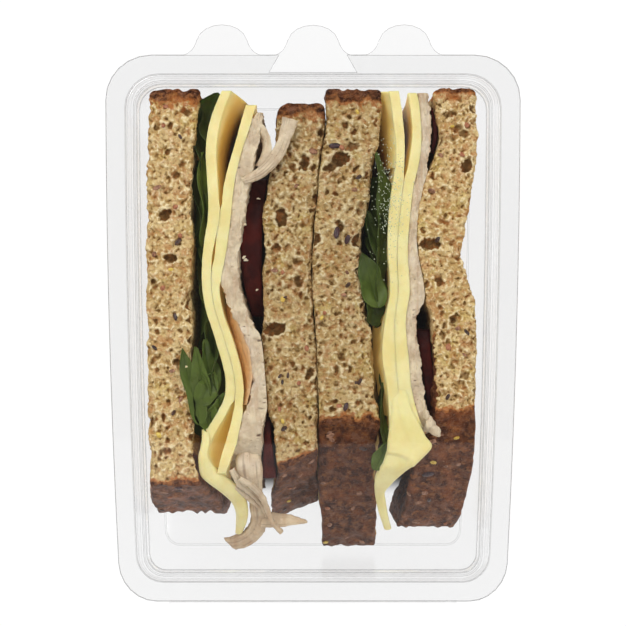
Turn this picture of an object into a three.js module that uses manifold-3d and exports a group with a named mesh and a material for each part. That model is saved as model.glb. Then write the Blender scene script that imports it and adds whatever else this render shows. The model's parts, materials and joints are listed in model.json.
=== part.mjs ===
// A clear clamshell pack lying on its back, with the two cut halves of a turkey and cheese sandwich in it.
// Millimetres, +Z up. X runs across the pack, Y along it towards its tabs, and Z out through its window.
// The cut faces of the sandwich look up through the window of the lid.
import * as THREE from 'three';
import { mergeVertices } from 'three/addons/utils/BufferGeometryUtils.js';
import Module from 'manifold-3d';

const wasm = await Module();
wasm.setup();

// ---------------------------------------------------------------- driving dimensions

const PACK_LENGTH = 156;
const PACK_WIDTH = 116.4;
const PACK_FLARE = 0.037;         // how much wider the outline grows towards the tabs
const PACK_BOW = 0.019;           // how far its long sides bulge
const TAB_CORNER = 12.8;          // corner radius at the end with the tabs
const HINGE_CORNER = 10.9;        // corner radius at the hinge
const CORNER_EASE = 0.6;          // corners of an inner ring lose this much radius per mm of inset
const CORNER_STEPS = 6;
const SIDE_STEPS = 7;
const END_STEPS = 3;

const SHEET = 0.6;                // thickness of the plastic
const FLANGE_TOP = 50;            // upper face of the tray's flange
const FLANGE_WIDTH = 5.7;
const FLANGE_GAP = 0.3;           // between the two closed flanges
const TRAY_DRAFT = 4;             // how far the tray's walls lean in, from flange to floor
const LID_RISE = 14.5;            // height of the lid's rim over the tray's flange
const LID_DRAFT = 2.5;
const RIM_WIDTH = 1.8;            // raised rim round the window
const RIM_STEP = 1.1;             // how far the window lies below that rim

const TAB_REACH = 8.6;            // how far the tabs stand out from the flange
const LID_TABS = [-26, 26];       // middles of the lid's two tabs
const LID_TAB_WIDTH = 16.8;
const TRAY_TAB_WIDTH = 17;
const NOTCH_WIDTHS = [18, 25];    // thumb notch in the lid's flange, at its edge and at the wall
const NOTCH_DEPTH = 5;

const CUT_LEVEL = 62;             // height of the highest cut face
const FOOD_FLOOR = 1.2;
const LOAF_CORNER = 6;            // rounding of the loaf's crust where it lies on the tray's floor

// Where the breads' faces stand at the cut, and how they lean towards each other at the tray's floor.
const HALVES = {
  left: { cut: [-46.4, -33.4, -14.2, 1], floor: [-44.6, -27.5, -13.5, 1.2] },
  right: { cut: [1, 16.5, 33, 46.4], floor: [1.8, 17.5, 27.5, 41] },
};
const SWAY_DEPTH = 0.3;           // a filling has swayed all its way this far down, as a share of the depth

const COLOURS = {
  plastic: 0xf1f3f2,
  crumb: 0xc39c67,
  cheese: 0xe6d79a,
  turkey: 0xd9c3a4,
  tomato: 0x6b2a20,
  leaf: 0x4d5a28,
};

// ---------------------------------------------------------------- helpers

const mix = THREE.MathUtils.lerp;

function closedGeometry(positions, triangles) {
  const geometry = new THREE.BufferGeometry();
  geometry.setAttribute('position', new THREE.Float32BufferAttribute(positions, 3));
  geometry.setIndex(triangles);
  return geometry;
}

function onlyPositions(geometry) {
  geometry.deleteAttribute('normal');
  geometry.deleteAttribute('uv');
  return mergeVertices(geometry, 1e-4);
}

function toSolid(geometry) {
  const merged = onlyPositions(geometry);
  return new wasm.Manifold(new wasm.Mesh({
    numProp: 3,
    vertProperties: merged.attributes.position.array,
    triVerts: new Uint32Array(merged.index.array),
  }));
}

function toGeometry(solid) {
  const mesh = solid.getMesh();
  return closedGeometry(mesh.vertProperties, Array.from(mesh.triVerts));
}

function named(name, geometry, colour, finish = {}) {
  const material = new THREE.MeshStandardMaterial({ color: colour, roughness: 0.7, metalness: 0, ...finish });
  const mesh = new THREE.Mesh(geometry, material);
  mesh.name = name;
  return mesh;
}

// ---------------------------------------------------------------- the pack

// One ring of the pack: a rounded rectangle, inset from the flange's edge, flared and bowed.
function outline(inset) {
  const halfWidth = PACK_WIDTH / 2 - inset;
  const halfLength = PACK_LENGTH / 2 - inset;
  const corners = [[1, 1], [-1, 1], [-1, -1], [1, -1]].map(([x, y], turn) => {
    const radius = (y > 0 ? TAB_CORNER : HINGE_CORNER) - CORNER_EASE * inset;
    const centre = new THREE.Vector2(x * (halfWidth - radius), y * (halfLength - radius));
    return { centre, radius, start: turn * Math.PI / 2 };
  });
  const points = [];
  corners.forEach(({ centre, radius, start }, turn) => {
    for (let step = 0; step <= CORNER_STEPS; step++) {
      const angle = start + step / CORNER_STEPS * Math.PI / 2;
      points.push(new THREE.Vector2(Math.cos(angle), Math.sin(angle)).multiplyScalar(radius).add(centre));
    }
    const next = corners[(turn + 1) % corners.length];
    const from = points.at(-1);
    const to = new THREE.Vector2(Math.cos(next.start), Math.sin(next.start))
      .multiplyScalar(next.radius).add(next.centre);
    const steps = turn % 2 ? SIDE_STEPS : END_STEPS;
    for (let step = 1; step < steps; step++) points.push(from.clone().lerp(to, step / steps));
  });
  for (const point of points) {
    const along = point.y / (PACK_LENGTH / 2);
    point.x *= 1 + PACK_FLARE * along - PACK_BOW * along * along;
  }
  return points;
}

// A thin closed shell: rings from the middle of its underside, round its edge, to the middle of its top.
function shell(profile) {
  const positions = [];
  for (const [inset, height] of profile) {
    for (const point of outline(inset)) positions.push(point.x, point.y, height);
  }
  const around = outline(0).length;
  const triangles = [];
  for (let ring = 0; ring + 1 < profile.length; ring++) {
    for (let step = 0; step < around; step++) {
      const next = (step + 1) % around;
      const [a, b] = [ring * around + step, ring * around + next];
      triangles.push(a, b, b + around, a, b + around, a + around);
    }
  }
  const lastRing = (profile.length - 1) * around;
  const underMiddle = positions.length / 3;
  positions.push(0, 0, profile[0][1], 0, 0, profile.at(-1)[1]);
  for (let step = 0; step < around; step++) {
    const next = (step + 1) % around;
    triangles.push(underMiddle, next, step);
    triangles.push(underMiddle + 1, lastRing + step, lastRing + next);
  }
  return closedGeometry(positions, triangles);
}

// A grip tab: a low dome on a flared foot, reaching back into the flange so that it joins it.
function tab(middle, width, bottom) {
  const edge = PACK_LENGTH / 2;
  const half = width / 2;
  const flare = width * 0.22;
  const shape = new THREE.Shape();
  shape.moveTo(-half - flare, edge - 1.5);
  shape.lineTo(-half - flare, edge - 0.2);
  shape.quadraticCurveTo(-half, edge, -half * 0.86, edge + TAB_REACH * 0.48);
  const crest = edge + TAB_REACH * 1.173;     // the curve's own crest then lies at the tab's reach
  shape.bezierCurveTo(-half * 0.66, crest, half * 0.66, crest, half * 0.86, edge + TAB_REACH * 0.48);
  shape.quadraticCurveTo(half, edge, half + flare, edge - 0.2);
  shape.lineTo(half + flare, edge - 1.5);
  shape.closePath();
  const geometry = new THREE.ExtrudeGeometry(shape, { depth: SHEET, bevelEnabled: false, curveSegments: 8 });
  geometry.translate(middle, 0, bottom);
  return toSolid(geometry);
}

function makeTray() {
  const underFlange = FLANGE_TOP - SHEET;
  const wallTop = FLANGE_WIDTH + 0.1;
  const wallFoot = wallTop + TRAY_DRAFT;
  const body = toSolid(shell([
    [wallFoot + 3.4, 0],
    [wallFoot + 0.8, 0.9],
    [wallFoot, 3.5],
    [wallTop, underFlange - 1.4],
    [wallTop - 0.5, underFlange],
    [0, underFlange],
    [0, FLANGE_TOP],
    [wallTop - 0.1, FLANGE_TOP],
    [wallTop + SHEET, FLANGE_TOP - 1.8],
    [wallFoot + SHEET, 4],
    [wallFoot + 1.3, 1.6],
    [wallFoot + 3.7, SHEET],
  ]));
  return toGeometry(body.add(tab(0, TRAY_TAB_WIDTH, underFlange)));
}

function makeLid() {
  const under = FLANGE_TOP + FLANGE_GAP;
  const over = under + SHEET;
  const rim = FLANGE_TOP + LID_RISE;
  const rimInset = FLANGE_WIDTH + LID_DRAFT;
  const windowInset = rimInset + RIM_WIDTH + 0.6;
  const body = toSolid(shell([
    [windowInset - 0.2, rim - RIM_STEP - SHEET],
    [windowInset - 0.9, rim - SHEET],
    [rimInset + 1, rim - SHEET],
    [rimInset + 0.5, rim - 1.4],
    [FLANGE_WIDTH + 0.5, under + 0.3],
    [FLANGE_WIDTH - 0.1, under],
    [0, under],
    [0, over],
    [FLANGE_WIDTH, over],
    [rimInset, rim - 0.8],
    [rimInset + 0.7, rim],
    [windowInset - 0.6, rim],
    [windowInset, rim - RIM_STEP],
  ]));
  const edge = PACK_LENGTH / 2;
  const [outer, inner] = NOTCH_WIDTHS;
  const notchShape = new THREE.Shape([
    new THREE.Vector2(-outer / 2, edge + 1),
    new THREE.Vector2(-inner / 2, edge - NOTCH_DEPTH),
    new THREE.Vector2(inner / 2, edge - NOTCH_DEPTH),
    new THREE.Vector2(outer / 2, edge + 1),
  ]);
  const notch = new THREE.ExtrudeGeometry(notchShape, { depth: 3 * SHEET, bevelEnabled: false });
  notch.translate(0, 0, under - SHEET);
  let lid = body;
  for (const middle of LID_TABS) lid = lid.add(tab(middle, LID_TAB_WIDTH, under));
  return toGeometry(lid.subtract(toSolid(notch)));
}

// ---------------------------------------------------------------- the sandwich

// How far a height lies below the cut faces: 0 at the cut, 1 at the floor.
const depthOf = (height) => (CUT_LEVEL - height) / (CUT_LEVEL - FOOD_FLOOR);

// Leans a place at the cut towards where the bread's faces pinch together at the tray's floor.
function leaning({ cut, floor }) {
  const shifts = new THREE.LinearInterpolant(cut, floor.map((x, place) => x - cut[place]), 1);
  return (x, height) => x + shifts.evaluate(x)[0] * Math.max(depthOf(height), 0) ** 1.4;
}

// A layer stands on edge in a half. Its rows give its left and right faces along the cut, from the
// hinge's end up, and how far it sways below the cut: [y, left, right, sway]. Its two ends are given
// at the cut and at its foot.
function layer({ half, rows, low, high, top, foot = FOOD_FLOOR, dome = 0, corner = 0, cells }) {
  const samples = rows.flatMap(([, left, right, sway = 0]) => [left, right, sway]);
  const faces = new THREE.CubicInterpolant(rows.map(([y]) => y), samples, 3);
  const lean = leaning(HALVES[half]);
  const geometry = onlyPositions(new THREE.BoxGeometry(1, 1, 1, ...cells));
  const position = geometry.attributes.position;
  for (let index = 0; index < position.count; index++) {
    const across = position.getX(index) + 0.5;
    const along = position.getY(index) + 0.5;
    const rise = position.getZ(index) + 0.5;
    const height = mix(foot, top - dome * (2 * along - 1) ** 2, rise);
    const below = (top - height) / (top - foot);
    const rounding = Math.max(corner - (height - foot), 0);
    const trim = corner - Math.sqrt(corner ** 2 - rounding ** 2);
    const slant = Math.sin(below * Math.PI / 2);
    const y = mix(mix(low[0], low[1], slant) + trim, mix(high[0], high[1], slant) - trim, along);
    const [left, right, sway] = faces.evaluate(y);
    const swayed = sway * THREE.MathUtils.smoothstep(depthOf(height), 0, SWAY_DEPTH);
    position.setXYZ(index, lean(mix(left, right, across), height) + swayed, y, height);
  }
  return geometry;
}

// A strip or flap of a layer that has come loose: a flat section swept along a curve.
// Its stops are [x, y, z, width], and it faces the given way.
function loose(stops, thickness, facing = [0, 0, 1], steps = 10) {
  const curve = new THREE.CatmullRomCurve3(stops.map(([x, y, z]) => new THREE.Vector3(x, y, z)));
  const spots = stops.map((_, stop) => stop / (stops.length - 1));
  const widths = new THREE.LinearInterpolant(spots, stops.map(([, , , width]) => width), 1);
  const geometry = onlyPositions(new THREE.BoxGeometry(1, 1, 1, 2, steps, 1));
  const position = geometry.attributes.position;
  const up = new THREE.Vector3(...facing).normalize();
  for (let index = 0; index < position.count; index++) {
    const along = position.getY(index) + 0.5;
    const tangent = curve.getTangent(along);
    const side = new THREE.Vector3().crossVectors(tangent, up).normalize();
    const outward = new THREE.Vector3().crossVectors(side, tangent);
    const spot = curve.getPoint(along)
      .addScaledVector(side, position.getX(index) * widths.evaluate(along)[0])
      .addScaledVector(outward, position.getZ(index) * thickness);
    position.setXYZ(index, spot.x, spot.y, spot.z);
  }
  return geometry;
}

const BREAD_CELLS = [2, 22, 4];
const SHEET_CELLS = [1, 22, 3];
const SCRAP_CELLS = [1, 6, 3];

const BREADS = [
  {
    half: 'left', top: 61.2, low: [-44, -57], high: [67.2, 64.4],
    rows: [[-56, -45.6, -31], [-44, -45.8, -31.4], [-36, -46, -32.6], [-28, -46.3, -33.4],
      [10, -46.9, -33.5], [48, -46.8, -33.5], [58, -46.4, -32.4], [67, -46.2, -31]],
  },
  {
    half: 'left', top: 58.5, low: [-38.5, -57], high: [63.4, 62],
    rows: [[-56, -10.4, 1.2], [-38, -10.4, 1.2], [-20, -12.5, 1.2], [-4, -13.9, 0.4], [8, -14.3, -0.4],
      [24, -14.4, -0.4], [36, -13.8, 0.8], [44, -12, 1.2], [50, -11.2, 2], [57, -10.8, 3.4], [63, -10.4, 2.8]],
  },
  {
    half: 'right', top: 60.6, low: [-25.5, -67.2], high: [67.2, 64.8],
    rows: [[-66, 2, 18.4], [-40, 1.8, 17.4], [-25.5, 1.8, 19.3], [-12, 1.7, 16.9], [0, 1.1, 16.3],
      [10, 0.2, 14.2], [25, 0.2, 13.8], [36, 1.5, 15.8], [44, 2, 16.4], [50, 2.8, 18.5],
      [58, 4.1, 19.6], [67, 2.8, 19.7]],
  },
  {
    half: 'right', top: 61.6, low: [-24, -62.6], high: [67.4, 64.8],
    rows: [[-61, 33, 46.4], [-30, 34, 46.4], [-12, 34, 45.8], [0, 33.3, 46.2], [8, 32.7, 45.4],
      [15, 31.6, 43.4], [24, 29.6, 42.2], [30, 29.5, 43.2], [40, 31.3, 45.2], [48, 34, 46.2],
      [53, 35.2, 46.6], [60, 34.2, 46.7], [67, 33.6, 46.2]],
  },
];

const CHEESES = [
  {
    half: 'left', top: 62, low: [-38, -50], high: [66.6, 62],
    rows: [[-50, -30.5, -28.2], [-38, -31.4, -28.8], [-32, -31.4, -28.6], [-26, -28.3, -25.4],
      [-20, -25, -22.3], [-14.6, -24.6, -22.2], [-3.4, -27.3, -24.9], [8, -30.6, -28.3], [15, -31.2, -28.8],
      [22, -30.7, -28], [33, -29.5, -26.5, 0.3], [52, -30.1, -27.1, 2], [60, -28.4, -25.4, 3.4],
      [66.6, -25.6, -22.9, 5]],
  },
  {
    half: 'left', top: 61.8, low: [-40.6, -51], high: [62.6, 60],
    rows: [[-51, -26, -23.6], [-40.6, -26.8, -24.4], [-32, -24.4, -21.5], [-26, -22.9, -20.3],
      [-20, -21.8, -19.5], [-14.6, -21.8, -19.6], [-3.4, -24.5, -22.3], [4, -26.7, -24.8], [12, -28.2, -26.2],
      [22, -27.2, -24.3], [33, -25.8, -23.2], [41, -25, -22.3], [50, -22.5, -20.2], [62.6, -18.9, -15.8]],
  },
  {
    half: 'right', top: 62, low: [-38, -50], high: [66.5, 62],
    rows: [[-50, 20.6, 26.4], [-38, 21.2, 27.2], [-26, 21.4, 25.2], [-17, 20.8, 23.6],
      [-8, 19.4, 22.8, -1.2], [2, 20.3, 22.8, -1], [10, 21.6, 23.6, -0.4], [20, 21.1, 23.3], [30, 21, 23.7],
      [38, 21.8, 24.6, -0.4], [48, 23.1, 25.6, -1], [58, 22.5, 25.3, -1.2], [66.5, 21.3, 24.2, -0.6]],
  },
  {
    half: 'right', top: 61.8, low: [-35, -44], high: [66, 62],
    rows: [[-44, 27.6, 30.6], [-34, 28, 32.2], [-26, 25.8, 29.8], [-17, 24, 27.4], [-8, 23.4, 26.6],
      [2, 23.2, 25.9], [10, 24.2, 27], [20, 24, 26.5], [30, 24.3, 26.8], [40, 25.4, 27.9],
      [48, 27, 29.7], [56, 27.8, 30.1], [66, 26.6, 29.2]],
  },
];

const TURKEYS = [
  {
    half: 'left', top: 61.6, low: [-42, -52], high: [60.5, 58],
    rows: [[-52, -22.4, -15.4], [-42, -23.6, -15], [-32, -21, -14.2], [-26, -19.9, -14], [-20, -17.8, -13.4, -0.8],
      [-14.6, -17.2, -13.7, -1.2], [-3.4, -19, -14.9, -1.2], [4, -22.6, -18], [12, -25.4, -20.6], [22, -23.9, -20.6],
      [33, -22.8, -19.2], [41, -21.9, -17.9], [50, -19.8, -15.9], [60.5, -15.6, -14]],
  },
  {
    half: 'right', top: 61.5, low: [-29, -34], high: [66, 62],
    rows: [[-34, 32.8, 33.4], [-29, 31.4, 33.4], [-24, 29.6, 32.2], [-17, 27.8, 31], [-8, 27, 29.9],
      [2, 26.3, 29.1], [10, 27.4, 30.4], [20, 26.9, 29], [30, 27.2, 29], [40, 28.3, 30.6],
      [48, 30.1, 32.4], [56, 30.5, 33], [66, 29.6, 32.4]],
  },
];

const TOMATOES = [
  {
    half: 'left', top: 54, foot: 12, dome: 6, low: [4, 8], high: [42, 38],
    rows: [[4, -17.4, -14.9], [20, -20, -15.2], [33, -18.6, -14.8], [42, -17.3, -13.9]],
  },
  {
    half: 'left', top: 56, foot: 16, dome: 3, low: [-42, -40], high: [-24, -26],
    rows: [[-42, -14.4, -11], [-34, -13.7, -11.6], [-24, -13.4, -12.6]],
  },
  {
    half: 'right', top: 58, foot: 20, dome: 2, low: [50, 50], high: [62, 58],
    rows: [[50, 33, 33.6], [54, 33.5, 34.5], [62, 33.1, 33.4]],
  },
  {
    half: 'right', top: 55, foot: 14, dome: 2, low: [-23, -20], high: [-1, -4],
    rows: [[-23, 32.5, 33.6], [-17, 31.6, 33.5], [-8, 30.4, 33], [-1, 29.7, 32.7]],
  },
];

const LEAVES = [
  {
    half: 'left', top: 60, foot: 34, dome: 2, low: [58, 58], high: [66.5, 62],
    rows: [[58, -31.6, -29.4], [62, -30.8, -28], [66.5, -30.4, -26.4]],
  },
  {
    half: 'left', top: 59, foot: 26, dome: 3, low: [26, 24], high: [44, 46],
    rows: [[24, -33, -31.2], [34, -32.9, -30], [46, -33, -30.5]],
  },
  {
    half: 'left', top: 61.4, foot: 30, dome: 3, low: [-28, -26], high: [-4, -2],
    rows: [[-28, -32.6, -30], [-20, -33, -26.2], [-12, -33, -25.6], [-4, -32.6, -28.2]],
  },
  {
    half: 'right', top: 60, foot: 26, dome: 2.5, low: [24, 22], high: [48, 44],
    rows: [[22, 14.9, 20.2], [30, 16.2, 20.4], [40, 17, 20.6], [48, 18.8, 20.6]],
  },
  {
    half: 'right', top: 60.4, foot: 30, dome: 3, low: [4, 4], high: [22.6, 20],
    rows: [[4, 16.4, 19.1], [12, 14.8, 20.6], [22.6, 14.6, 20.3]],
  },
  {
    half: 'right', top: 58.6, foot: 30, dome: 2, low: [-38, -36], high: [-14, -15],
    rows: [[-38, 18.6, 20.7], [-30, 19.7, 21], [-20, 19.3, 20.3], [-14, 18.4, 19.6]],
  },
];

const LOOSE_PIECES = {
  // The corner of the first cheese slice, folded out over the crust.
  cheese_flap_left: [COLOURS.cheese,
    loose([[-28.8, -42.6, 60.6, 4.8], [-25.8, -46, 57.6, 5.2], [-22.2, -49.8, 52.8, 5], [-21.2, -53.4, 48.4, 5.2],
      [-21.8, -57.4, 44, 5.6]], 2.1, [-0.2, -0.7, 1])],
  cheese_flap_right: [COLOURS.cheese,
    loose([[19.9, -43.5, 50.2, 3.6], [20.6, -48.5, 43.5, 3], [22, -54, 37, 1.8]], 1.4, [0.3, -0.5, 1])],
  turkey_strip: [COLOURS.turkey,
    loose([[-5.6, 59, 60.2, 5], [-8.6, 54.6, 60.8, 3.4], [-11.2, 49.6, 61, 3], [-14.6, 45.4, 61.2, 2.6]],
      1.1, [0, 0, 1])],
  turkey_flap: [COLOURS.turkey,
    loose([[-16, -45, 56, 4], [-15, -51, 50.4, 4.4], [-17, -58.4, 41.4, 4.6], [-22.4, -63.4, 36, 4]],
      1.6, [0, -0.5, 1])],
  turkey_shred: [COLOURS.turkey,
    loose([[-11.2, -50.5, 49.4, 3.4], [-8, -55, 47.4, 3.6], [-1.8, -54.6, 46.6, 2.4]], 1.3, [0, -0.2, 1])],
};

function makeSandwiches() {
  const parts = [];
  const add = (kind, shapes, colour, cells, extra = {}) => shapes.forEach((shape, place) => {
    parts.push(named(`${kind}_${place + 1}`, layer({ cells, ...extra, ...shape }), colour));
  });
  add('bread_slice', BREADS, COLOURS.crumb, BREAD_CELLS, { corner: LOAF_CORNER });
  add('cheese_slice', CHEESES, COLOURS.cheese, SHEET_CELLS, { foot: 8 });
  add('turkey_slice', TURKEYS, COLOURS.turkey, SHEET_CELLS, { foot: 9 });
  add('tomato_slice', TOMATOES, COLOURS.tomato, SCRAP_CELLS);
  add('leaf', LEAVES, COLOURS.leaf, SCRAP_CELLS);
  for (const [name, [colour, geometry]] of Object.entries(LOOSE_PIECES)) {
    parts.push(named(name, geometry, colour));
  }
  return parts;
}

// ---------------------------------------------------------------- the whole

const plastic = { roughness: 0.08, transparent: true, opacity: 0.2 };
const pack = new THREE.Group();
pack.add(named('tray', makeTray(), COLOURS.plastic, plastic));
pack.add(named('lid', makeLid(), COLOURS.plastic, plastic));
pack.add(...makeSandwiches());
pack.position.y = -TAB_REACH / 2;

const part = new THREE.Group();
part.add(pack);

export default part;
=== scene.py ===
"""A packed turkey sandwich seen straight from above: a clear hinged pack with two cut halves in it.

Metres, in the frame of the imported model: +X across the pack, +Y to its tabs, +Z out of its window.
"""
import json
import math
from contextlib import contextmanager
from itertools import product

import bmesh
import bpy
import numpy as np
from mathutils import Matrix, Vector

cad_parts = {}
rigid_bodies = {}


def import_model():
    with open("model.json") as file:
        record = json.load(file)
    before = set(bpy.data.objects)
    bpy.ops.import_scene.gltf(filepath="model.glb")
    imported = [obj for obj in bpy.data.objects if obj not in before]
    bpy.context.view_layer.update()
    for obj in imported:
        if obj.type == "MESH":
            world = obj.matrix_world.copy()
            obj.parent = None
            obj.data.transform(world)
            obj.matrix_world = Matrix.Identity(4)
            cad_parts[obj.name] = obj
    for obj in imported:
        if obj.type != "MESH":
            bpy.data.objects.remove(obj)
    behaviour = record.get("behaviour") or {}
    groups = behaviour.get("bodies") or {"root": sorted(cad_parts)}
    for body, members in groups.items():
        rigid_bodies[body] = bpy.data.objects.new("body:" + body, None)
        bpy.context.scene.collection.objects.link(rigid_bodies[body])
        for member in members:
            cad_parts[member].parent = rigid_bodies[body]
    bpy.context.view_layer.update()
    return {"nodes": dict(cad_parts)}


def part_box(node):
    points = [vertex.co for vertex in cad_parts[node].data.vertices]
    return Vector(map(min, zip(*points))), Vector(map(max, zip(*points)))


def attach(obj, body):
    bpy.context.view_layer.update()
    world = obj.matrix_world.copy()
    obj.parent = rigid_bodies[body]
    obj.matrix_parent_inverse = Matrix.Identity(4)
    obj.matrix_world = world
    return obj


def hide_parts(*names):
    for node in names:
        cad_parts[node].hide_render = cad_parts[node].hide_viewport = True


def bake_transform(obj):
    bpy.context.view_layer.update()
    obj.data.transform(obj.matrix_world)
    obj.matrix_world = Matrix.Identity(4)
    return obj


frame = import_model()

MM = 0.001
SAME_POINT, SAME_LEVEL, SAME_STATION = 1e-6, 2e-5, 1.5e-5      # metres apart that count as one place
SCENE = bpy.context.scene


def linked(name, data):
    """A new object in the scene."""
    thing = bpy.data.objects.new(name, data)
    SCENE.collection.objects.link(thing)
    return thing


# ------------------------------------------------------------------ camera, floor and light

EYE_HEIGHT = 0.662                # the camera looks straight down from here
FRAME_WIDTH = 0.1753              # width of the view at the cut faces
CUT_HEIGHT = 0.062
SENSOR = 36.0
FLOOR_SIZE, FLOOR_DROP = 6, 0.0005
DOME, DOME_TOP = 0.56, 0.1
DOME_FADE = (0.955, 0.985)        # how far up the dome starts to darken, and has darkened
GLOW, GLOW_INSET, GLOW_FADE = 0.97, 0.018, 0.006
SOFTBOXES = [
    # name, place, where it points, size, power
    ("key", (-0.5, 0.62, 0.95), (0, 0, 0.05), (0.6, 0.6), 9),
    ("fill", (0.75, -0.1, 0.8), (0, 0, 0.05), (0.7, 0.9), 4.5),
    ("veil", (0, -0.355, 1.2), (0, -0.355, 0), (0.9, 0.5), 0.48),
]


def add_camera():
    camera = linked("camera", bpy.data.cameras.new("camera"))
    camera.data.sensor_width = SENSOR
    camera.data.lens = SENSOR * (EYE_HEIGHT - CUT_HEIGHT) / FRAME_WIDTH
    camera.location = (0, 0, EYE_HEIGHT)
    SCENE.camera = camera


def add_floor():
    """A white table that glows a little, as a light table does, but not under the food."""
    bpy.ops.mesh.primitive_plane_add(size=FLOOR_SIZE, location=(0, 0, -FLOOR_DROP))
    floor = bpy.context.object
    floor.name = "floor"
    material, n, shader = new_material("floor", 0.9)
    place = n.add("ShaderNodeSeparateXYZ", {0: n.place()})
    low, high = food_bounds()
    beyond = [n.maths("SUBTRACT", low.x, place.outputs[0]), n.maths("SUBTRACT", place.outputs[0], high.x),
              n.maths("SUBTRACT", low.y, place.outputs[1]), n.maths("SUBTRACT", place.outputs[1], high.y)]
    farthest = beyond[0]
    for distance in beyond[1:]:
        farthest = n.maths("MAXIMUM", farthest, distance)
    n.feed(shader.inputs["Emission Strength"], n.span(farthest, -GLOW_INSET, GLOW_FADE - GLOW_INSET, 0, GLOW))
    shader.inputs["Emission Color"].default_value = (1, 1, 1, 1)
    shader.inputs["Base Color"].default_value = (0.04, 0.04, 0.04, 1)
    floor.data.materials.append(material)


def food_bounds():
    corners = [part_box(node) for node in frame["nodes"] if node.startswith("bread")]
    return [Vector(pick(corner[end][axis] for corner in corners) for axis in range(3))
            for end, pick in ((0, min), (1, max))]


def add_light():
    """An even pale dome, dark straight overhead so that the window stays clear, and three softboxes."""
    world = bpy.data.worlds.new("studio")
    SCENE.world = world
    world.use_nodes = True
    n = Nodes(world.node_tree)
    up = n.add("ShaderNodeSeparateXYZ", {0: n.add("ShaderNodeTexCoord").outputs["Generated"]}).outputs[2]
    background = world.node_tree.nodes["Background"]
    n.feed(background.inputs["Strength"], n.span(up, *DOME_FADE, DOME, DOME_TOP))
    background.inputs["Color"].default_value = (1, 1, 1, 1)
    for name, place, target, size, power in SOFTBOXES:
        light = bpy.data.lights.new(name, "AREA")
        light.shape = "RECTANGLE"
        light.size, light.size_y = size
        light.energy = power
        lamp = linked(name, light)
        lamp.location = place
        lamp.rotation_euler = (Vector(target) - Vector(place)).to_track_quat("-Z", "Y").to_euler()
    SCENE.view_settings.view_transform = "Standard"
    SCENE.cycles.transparent_max_bounces = 48


# ------------------------------------------------------------------ materials: helpers

def new_material(name, roughness=0.5, specular=0.5, subsurface=0.0, radius=(1, 0.5, 0.25), scale=0.002):
    """A new material, short ways to build its nodes, and its shader."""
    material = bpy.data.materials.new(name)
    material.use_nodes = True
    shader = material.node_tree.nodes["Principled BSDF"]
    looks = {"Roughness": roughness, "Specular IOR Level": specular, "Subsurface Weight": subsurface,
             "Subsurface Radius": radius, "Subsurface Scale": scale}
    for key, value in looks.items():
        shader.inputs[key].default_value = value
    return material, Nodes(material.node_tree), shader


class Nodes:
    """Short ways to add and join shader nodes in one material."""

    def __init__(self, tree):
        self.tree = tree

    def add(self, kind, inputs=(), **settings):
        node = self.tree.nodes.new(kind)
        for key, value in settings.items():
            setattr(node, key, value)
        for key, value in dict(inputs).items():
            self.feed(node.inputs[key], value)
        return node

    def feed(self, socket, value):
        if isinstance(value, bpy.types.NodeSocket):
            self.tree.links.new(value, socket)
        elif isinstance(value, bpy.types.Node):
            self.tree.links.new(value.outputs[0], socket)
        else:
            socket.default_value = value

    def place(self):
        return self.add("ShaderNodeTexCoord").outputs["Object"]

    def attribute(self, name):
        return self.add("ShaderNodeAttribute", attribute_name=name).outputs["Fac"]

    def noise(self, scale, detail=3.0, roughness=0.55, vector=None, stretch=None):
        vector = vector or self.place()
        if stretch:
            vector = self.add("ShaderNodeMapping", {"Vector": vector, "Scale": stretch}).outputs[0]
        inputs = {"Vector": vector, "Scale": scale, "Detail": detail, "Roughness": roughness}
        return self.add("ShaderNodeTexNoise", inputs).outputs["Fac"]

    def maths(self, operation, a, b):
        return self.add("ShaderNodeMath", {0: a, 1: b}, operation=operation).outputs[0]

    def span(self, value, low, high, to_low=0.0, to_high=1.0):
        inputs = {"Value": value, "From Min": low, "From Max": high, "To Min": to_low, "To Max": to_high}
        return self.add("ShaderNodeMapRange", inputs, interpolation_type="SMOOTHSTEP").outputs[0]

    def mix(self, share, a, b, blend="MIX"):
        node = self.add("ShaderNodeMix", data_type="RGBA", blend_type=blend)
        self.feed(node.inputs["Factor"], share)
        self.feed(node.inputs[6], a)
        self.feed(node.inputs[7], b)
        return node.outputs[2]

    def paint(self, base, *coats):
        """Colours a base: each coat where its value goes from low to high, and up to its most."""
        for value, low, high, most, *shade in coats:
            base = self.mix(self.span(value, low, high, 0, most), base, colour(*shade))
        return base

    def finish(self, shader, base, height, distance, strength):
        """Gives the shader its colour and its fine relief."""
        self.feed(shader.inputs["Base Color"], base)
        relief = self.add("ShaderNodeBump", {"Height": height, "Distance": distance, "Strength": strength})
        self.feed(shader.inputs["Normal"], relief)


def colour(red, green, blue):
    """A screen colour, 0 to 255, as the linear colour that shaders take."""
    def linear(value):
        value /= 255
        return value / 12.92 if value <= 0.04045 else ((value + 0.055) / 1.055) ** 2.4
    return (linear(red), linear(green), linear(blue), 1)


# ------------------------------------------------------------------ meshes: helpers

def seeded(seed):
    return np.random.default_rng(seed)


def lattice_noise(points, grain, seed):
    """Smooth random numbers, -1 to 1, at points in space, with features about one grain across."""
    cells = points / grain
    base = np.floor(cells)
    share = cells - base
    share = share * share * (3 - 2 * share)
    base = base.astype(np.int64)
    total = np.zeros(len(points))
    for corner in product((0, 1), repeat=3):
        key = base + corner
        mixed = key[:, 0] * 374761393 + key[:, 1] * 668265263 + key[:, 2] * 2147483647 + seed * 1274126177
        mixed = (mixed ^ (mixed >> 13)) * 1274126177
        value = ((mixed ^ (mixed >> 16)) & 0xFFFF) / 32767.5 - 1
        weight = np.ones(len(points))
        for axis in range(3):
            weight = weight * (share[:, axis] if corner[axis] else 1 - share[:, axis])
        total += weight * value
    return total


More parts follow.
